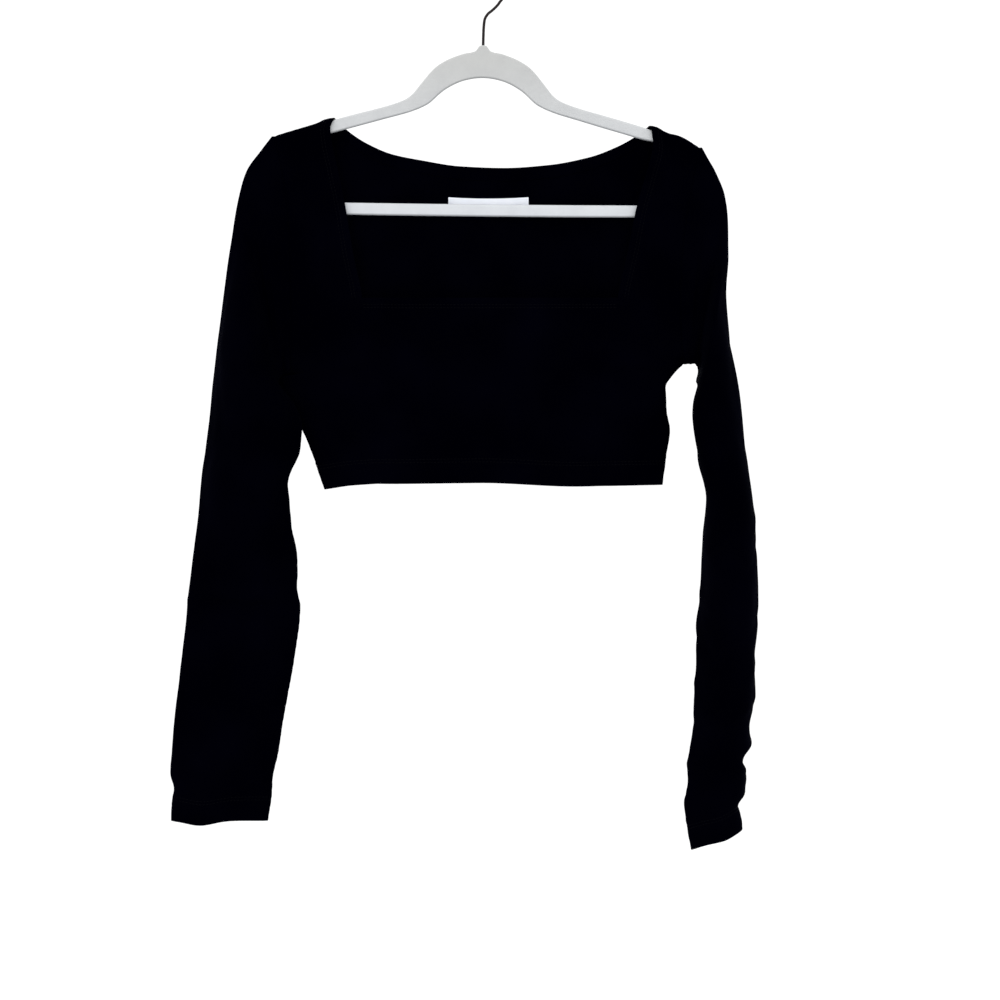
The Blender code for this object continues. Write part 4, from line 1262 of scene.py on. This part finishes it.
def stitch_piece(name, paths, finish, slot, **sizes):
    """Rows of stitches as one piece."""
    points = np.concatenate([stitch_row(path, **sizes) for path in paths])
    piece = put(name, points, stitch_faces(len(points)), finish)
    return piece


def hem_paths(lines, deep, closed=False):
    """The two rows of stitches that hold a hem."""
    paths = [walk(lines, np.array([deep - row]))[:, 0] for row in STITCH_ROWS]
    return [np.vstack([path, path[:1]]) if closed else path for path in paths]


def cloth_piece(name, node, points, flip, flat, area, extras, **grid_settings):
    """A cut piece of jersey: it takes its solid's place."""
    piece = put_grid(name, points, knit(), flip=flip, **grid_settings)
    thicken(piece, bpy.context.scene.crop_top_cloth.shell / MM)
    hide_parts(node)


class CROPTOP_OT_front(bpy.types.Operator):
    """Sews the front: one piece with a square neck, its hems turned under and stitched"""

    bl_idname = "croptop.front"
    bl_label = "Front"

    def execute(self, context):
        cloth = panels()[0][1]
        lined = with_normals(cloth, -1)
        rows = slice(0, CORNER_ROW + 1)
        hem = from_edge(lined)
        right, left = lined[rows, NECK_COLUMN::-1], lined[rows, -NECK_COLUMN - 1 :]
        low = lined[CORNER_ROW:, MIDDLE].swapaxes(0, 1)
        pieces = [hem_piece("front_hem", hem, HEM_DEPTH, flip=False)]
        for side, lines in (("right", right), ("left", left), ("low", low)):
            pieces.append(hem_piece("front_neck_hem_" + side, lines, NECK_HEM_DEPTH, flip=side != "right"))
        paths = hem_paths(hem, HEM_DEPTH)
        for lines in (right, low, left):
            paths += hem_paths(lines, NECK_HEM_DEPTH)
        pieces.append(stitch_piece("front_stitches", paths, black_thread(), "black_jersey"))

        for edge, inner in (
            (np.s_[-1], np.s_[-2]),
            (np.s_[rows, NECK_COLUMN], np.s_[rows, NECK_COLUMN - 1]),
            (np.s_[rows, -NECK_COLUMN - 1], np.s_[rows, -NECK_COLUMN]),
            (np.s_[CORNER_ROW, MIDDLE], np.s_[CORNER_ROW + 1, MIDDLE]),
        ):
            cloth = pulled_back(cloth, edge, inner)
        keep = np.ones((cloth.shape[0] - 1, cloth.shape[1] - 1), bool)
        keep[:CORNER_ROW, MIDDLE] = False
        cloth_piece("front_cloth", "front_panel", cloth, True, PANEL_CUT, 0.0774, pieces, keep=keep)
        return {"FINISHED"}


class CROPTOP_OT_back(bpy.types.Operator):
    """Sews the back: one piece with a shallow scooped neck, its hems turned under and stitched"""

    bl_idname = "croptop.back"
    bl_label = "Back"

    def execute(self, context):
        cloth = panels()[1][1]
        lined = with_normals(cloth, 1)
        hem, neck = from_edge(lined), lined[: CORNER_ROW + 1, MIDDLE].swapaxes(0, 1)
        pieces = [
            hem_piece("back_hem", hem, HEM_DEPTH, flip=True),
            hem_piece("back_neck_hem", neck, NECK_HEM_DEPTH, flip=False),
        ]
        paths = hem_paths(hem, HEM_DEPTH) + hem_paths(neck, NECK_HEM_DEPTH)
        pieces.append(stitch_piece("back_stitches", paths, black_thread(), "black_jersey"))
        cloth = pulled_back(cloth, np.s_[-1], np.s_[-2])
        cloth = pulled_back(cloth, np.s_[0, MIDDLE], np.s_[1, MIDDLE])
        cloth_piece("back_cloth", "back_panel", cloth, False, PANEL_CUT, 0.1115, pieces)
        return {"FINISHED"}


class CROPTOP_OT_sleeves(bpy.types.Operator):
    """Sets in both sleeves, each a soft tube with a turned cuff"""

    bl_idname = "croptop.sleeves"
    bl_label = "Sleeves"

    def execute(self, context):
        front, back = panels()
        for name, rows, creases, column, side, area in (
            ("sleeve_right", RIGHT_SLEEVE, RIGHT_SLEEVE_CREASES, 0, -1, 0.1194),
            ("sleeve_left", LEFT_SLEEVE, LEFT_SLEEVE_CREASES, -1, 1, 0.1153),
        ):
            cloth = sleeve_cloth(rows, creases, front, back, column)
            lines = from_edge(with_normals(cloth, side, closed=True))
            paths = hem_paths(lines, HEM_DEPTH, closed=True)
            pieces = [
                hem_piece(name + "_hem", lines, HEM_DEPTH, flip=side > 0, closed=True),
                stitch_piece(name + "_stitches", paths, black_thread(), "black_jersey"),
            ]
            cloth = pulled_back(cloth, np.s_[-1], np.s_[-2])
            cloth_piece(name + "_cloth", name, cloth, side < 0, SLEEVE_CUT, area, pieces, closed=True)
        return {"FINISHED"}


def inner_face(cloth, x, drop):
    """How far behind the hanger's plane the back panel lies at these points.

    The panel's grid is read at the column and the row that lie nearest.
    """
    columns = np.abs(cloth[CORNER_ROW // 2, :, 0] - x[..., None]).argmin(-1)
    drops = -cloth[:, :, 2].T[columns]
    rows = np.abs(drops - drop[..., None]).argmin(-1)
    return cloth[rows, columns, 1]


def label_form(cloth):
    """The label's grid: a tape bowed down at its middle, its ends folded round behind it, clear of the back.

    Across the tape runs a section of distances from its middle and offsets from the back; down it, the tape
    hangs from LABEL_TOP and curls a little away from the cloth.
    """
    reach, fold, half = LABEL_WIDTH / 2, LABEL_BEND, LABEL_LAYER / 2
    ends, middle, rows = 5, 61, 15
    sag, above, fine, slow = 1.3, 0.6, 9.0, 17.0
    turn = np.linspace(-math.pi / 2, math.pi / 2, 7)[1:-1]
    x = np.hstack([
        np.linspace(-reach + LABEL_FOLD, -reach + fold, ends), -reach + fold - fold * np.cos(turn),
        np.linspace(-reach + fold, reach - fold, middle), reach - fold + fold * np.cos(turn),
        np.linspace(reach - fold, reach - LABEL_FOLD, ends),
    ])
    off = np.hstack([
        np.zeros(ends), half + half * np.sin(turn), np.full(middle, LABEL_LAYER), half - half * np.sin(turn),
        np.zeros(ends),
    ])
    down = np.linspace(0, 1, rows)[:, None]
    bow = sag * (1 - (x / reach) ** 2) * (1 - down)
    drop = LABEL_TOP - above + bow + down * LABEL_HEIGHT
    across = LABEL_X + x + 0 * down
    curl = 0.25 * np.sin(x / fine) * down + 0.35 * down**2 * np.sin(x / slow + 1.0)
    inner = inner_face(cloth, across, drop) - SHELL - LABEL_CLEAR
    return np.stack([across, inner - off - np.abs(curl), -drop], -1)


def label_seams(cloth):
    """The two short seams down the label's ends, as paths with normals."""
    reach, inset, proud = LABEL_WIDTH / 2, 2.2, 0.1
    at = np.linspace(LABEL_TOP + 0.6, LABEL_TOP + LABEL_HEIGHT - 1.0, 30)
    paths = []
    for place in (inset - reach, reach - inset):
        across = np.full(len(at), LABEL_X + place)
        y = inner_face(cloth, across, at) - SHELL - LABEL_CLEAR - LABEL_LAYER - proud
        paths.append(np.stack([across, y, -at, 0 * at, 0 * at - 1, 0 * at], 1))
    return paths


class CROPTOP_OT_label(bpy.types.Operator):
    """Sews the bare satin label inside the back, its ends turned under"""

    bl_idname = "croptop.label"
    bl_label = "Neck label"

    def execute(self, context):
        cloth = panels()[1][1]
        label = put_grid("neck_label_tape", label_form(cloth), satin_finish(), flip=True)
        thicken(label, LABEL_THICKNESS)
        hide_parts("neck_label")
        thread = thread_finish("white_spun_polyester_thread", "#dfe2ea")
        stitches = stitch_piece("neck_label_stitches", label_seams(cloth), thread, "label_satin",
                                pitch=1.9, length=1.5, radius=0.14)
        return {"FINISHED"}


def hanger_form(steps):
    """The hanger's rings: a rounded oblong section carried round its outline, one half mirrored.

    The section spans from the outline's outside to its inside, as thick as the moulding, with quarter round
    corners.
    """
    index = np.arange(len(HANGER["outside_x"]))
    at = np.linspace(0, index[-1], index[-1] * steps + 1)
    half = np.stack([flow({"index": index, **HANGER}, name, at, "index") for name in HANGER], 1)
    outline = np.vstack([half, half[-2:0:-1] * (-1, 1, -1, 1)])
    fades_from, gone_at = ARCH_REACH
    near = 1 - smooth_step((np.abs(outline[:, [0, 2]]) - fades_from) / (gone_at - fades_from))
    outline[:, [0, 2]] += ARCH_SHIFT * near
    still = np.zeros(len(outline))
    outside = np.stack([outline[:, 0], still, -outline[:, 1]], 1)
    inside = np.stack([outline[:, 2], still, -outline[:, 3]], 1)
    middle = (outside + inside) / 2
    tall = np.linalg.norm(outside - inside, axis=1, keepdims=True) / 2
    up = (outside - inside) / (2 * tall)
    turn = np.linspace(0, math.pi / 2, 6)
    corners = []
    for quarter, (rise, deep) in enumerate(((1, 1), (-1, 1), (-1, -1), (1, -1))):
        bend = turn if quarter % 2 == 0 else turn[::-1]
        high = HANGER_EDGE * (1 - np.cos(bend))
        thick = HANGER_THICKNESS / 2 - HANGER_EDGE * (1 - np.sin(bend))
        corners.append((rise * (1 + 0 * high), rise * -high, deep * thick))
    share, less, thick = (np.hstack(parts) for parts in zip(*corners))
    reach = tall * share + less
    return middle[:, None] + reach[..., None] * up[:, None] + np.stack([0 * thick, thick, 0 * thick], -1)


def tilted(points):
    """The hanger's small tilt about the hook's rest, right side down as seen from the front."""
    c, s = math.cos(TILT), math.sin(TILT)
    x, z = points[..., 0] * c + points[..., 2] * s, points[..., 2] * c - points[..., 0] * s
    return np.stack([x, points[..., 1], z], -1)


class CROPTOP_OT_hanger(bpy.types.Operator):
    """Builds the slim flocked hanger: arms, arch and bar in one moulding"""

    bl_idname = "croptop.hanger"
    bl_label = "Hanger"

    def execute(self, context):
        settings = context.scene.crop_top_hanger
        body = tilted(hanger_form(settings.steps))
        count, ring = body.shape[:2]
        faces = grid(count + 1, ring, closed=True)[0].reshape(-1, 4) % (count * ring)
        piece = put("hanger", body, faces.tolist(), flock_finish(settings.flock))
        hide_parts("hanger_body")
        return {"FINISHED"}


def hook_path():
    """The middle of the hook's wire, sideways and up: the stem's curve, then an arc round the rail."""
    stem = {"step": np.arange(len(STEM["x"])), **STEM}
    at = np.linspace(0, stem["step"][-1], STEM_STEPS + 1)
    x, drop = flow(stem, "x", at, "step"), flow(stem, "drop", at, "step")
    radius = HOOK_RADIUS + WIRE_RADIUS
    angle = np.linspace(math.atan2(HOOK_RADIUS - drop[-1], x[-1]), HOOK_ENDS_AT, LOOP_STEPS + 1)[1:]
    x = np.hstack([x, radius * np.cos(angle)])
    return np.stack([x, -np.hstack([drop, HOOK_RADIUS - radius * np.sin(angle)])], 1)


def hook_form():
    """The hook's rings: a circle carried along its path, closed by a dome at the free end."""
    path = hook_path()
    along = unit(np.gradient(path, axis=0))
    dome = np.linspace(0, math.pi / 2, 6)[1:]
    thick = WIRE_RADIUS * np.hstack([np.ones(len(path)), np.cos(dome)])
    thick[-1] = TIP_RADIUS
    path = np.vstack([path, path[-1] + WIRE_RADIUS * np.sin(dome)[:, None] * along[-1]])
    along = np.vstack([along, np.repeat(along[-1:], len(dome), axis=0)])
    turn = np.arange(WIRE_SIDES) * 2 * math.pi / WIRE_SIDES
    aside, behind = thick[:, None] * np.cos(turn), thick[:, None] * np.sin(turn)
    return np.stack([path[:, :1] - along[:, 1:] * aside, behind, path[:, 1:] + along[:, :1] * aside], -1)


class CROPTOP_OT_hook(bpy.types.Operator):
    """Bends the hook: one plated wire, its stem in the boss and its loop closed over the rail"""

    bl_idname = "croptop.hook"
    bl_label = "Hook"

    def execute(self, context):
        finish = wire_finish(context.scene.crop_top_hanger.wire)
        piece = put_grid("hook", tilted(hook_form()), finish, closed=True)
        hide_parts("hanger_hook")
        return {"FINISHED"}


def paper_floor(finish, reach=12.0, below=-1.05):
    """A square sheet of paper that the part hangs above, in metres."""
    mesh = bpy.data.meshes.new("studio_floor")
    corners = [(x * reach, y * reach, below) for x, y in ((-1, -1), (1, -1), (1, 1), (-1, 1))]
    mesh.from_pydata(corners, [], [(0, 1, 2, 3)])
    mesh.materials.append(finish)
    return bpy.data.objects.new("studio_floor", mesh)


def surround(level, overhead):
    """A white world that brightens evenly from the horizon to overhead."""
    world = bpy.data.worlds.new("white_surround")
    world.use_nodes = True
    tree = world.node_tree
    tree.nodes.clear()
    height = add(tree, "SeparateXYZ", Vector=add(tree, "TexCoord").outputs["Generated"]).outputs["Z"]
    bright = add(tree, "MapRange", Value=height, To_Min=level, To_Max=overhead)
    glow = add(tree, "Background", Color=(1, 1, 1, 1), Strength=bright)
    add(tree, "OutputWorld", Surface=glow)
    return world


class CROPTOP_OT_stage(bpy.types.Operator):
    """Sets up the white studio: paper floor, even white surround, soft lights and the camera"""

    bl_idname = "croptop.stage"
    bl_label = "Studio"

    def execute(self, context):
        scene = context.scene
        settings = scene.crop_top_stage
        aim = Vector(settings.aim)
        floor = paper_floor(floor_finish())
        scene.collection.objects.link(floor)
        scene.world = surround(settings.world, settings.overhead)

        for name, place in (("key_light", (-1.6, -3.2, 1.2)), ("back_light", (1.4, 3.0, 1.0))):
            lamp = bpy.data.lights.new(name, "AREA")
            lamp.energy, lamp.size = settings.key, LAMP_SIZE
            light = bpy.data.objects.new(name, lamp)
            light.location = place
            light.rotation_euler = (aim - Vector(place)).to_track_quat("-Z", "Y").to_euler()
            scene.collection.objects.link(light)

        lens = bpy.data.cameras.new("camera")
        lens.sensor_width = 36.0
        lens.lens = lens.sensor_width * settings.distance / settings.width
        lens.clip_end = 60.0
        camera = bpy.data.objects.new("camera", lens)
        camera.location = aim - Vector((0, settings.distance, 0))
        camera.rotation_euler = (math.pi / 2, 0, 0)
        scene.collection.objects.link(camera)
        scene.camera = camera
        scene.view_settings.view_transform = "Standard"
        return {"FINISHED"}


class CROPTOP_PT_panel(bpy.types.Panel):
    """Lists the pieces of the crop top, its hanger and the studio"""

    bl_idname = "CROPTOP_PT_panel"
    bl_label = "Crop top"
    bl_space_type = "VIEW_3D"
    bl_region_type = "UI"
    bl_category = "Crop top"

    def draw(self, context):
        for title, settings, operators in (
            ("Cloth", context.scene.crop_top_cloth, ("front", "back", "sleeves", "label")),
            ("Hanger", context.scene.crop_top_hanger, ("hanger", "hook")),
            ("Studio", context.scene.crop_top_stage, ("stage",)),
        ):
            box = self.layout.box()
            box.label(text=title)
            for name in settings.bl_rna.properties.keys():
                if name not in {"rna_type", "name"}:
                    box.prop(settings, name)
            for name in operators:
                box.operator("croptop." + name)


CLASSES = (
    ClothSettings, HangerSettings, StageSettings,
    CROPTOP_OT_front, CROPTOP_OT_back, CROPTOP_OT_sleeves, CROPTOP_OT_label,
    CROPTOP_OT_hanger, CROPTOP_OT_hook, CROPTOP_OT_stage, CROPTOP_PT_panel,
)


def register():
    """Registers the classes and hangs their settings on the scene."""
    for each in CLASSES:
        bpy.utils.register_class(each)
    bpy.types.Scene.crop_top_cloth = PointerProperty(type=ClothSettings)
    bpy.types.Scene.crop_top_hanger = PointerProperty(type=HangerSettings)
    bpy.types.Scene.crop_top_stage = PointerProperty(type=StageSettings)


def unregister():
    """Takes the settings and the classes out again."""
    for name in ("crop_top_cloth", "crop_top_hanger", "crop_top_stage"):
        delattr(bpy.types.Scene, name)
    for each in reversed(CLASSES):
        bpy.utils.unregister_class(each)


def main():
    """Builds every piece and the studio."""
    register()
    bpy.ops.croptop.hanger()
    bpy.ops.croptop.hook()
    bpy.ops.croptop.front()
    bpy.ops.croptop.back()
    bpy.ops.croptop.sleeves()
    bpy.ops.croptop.label()
    bpy.ops.croptop.stage()


if __name__ == "__main__":
    main()
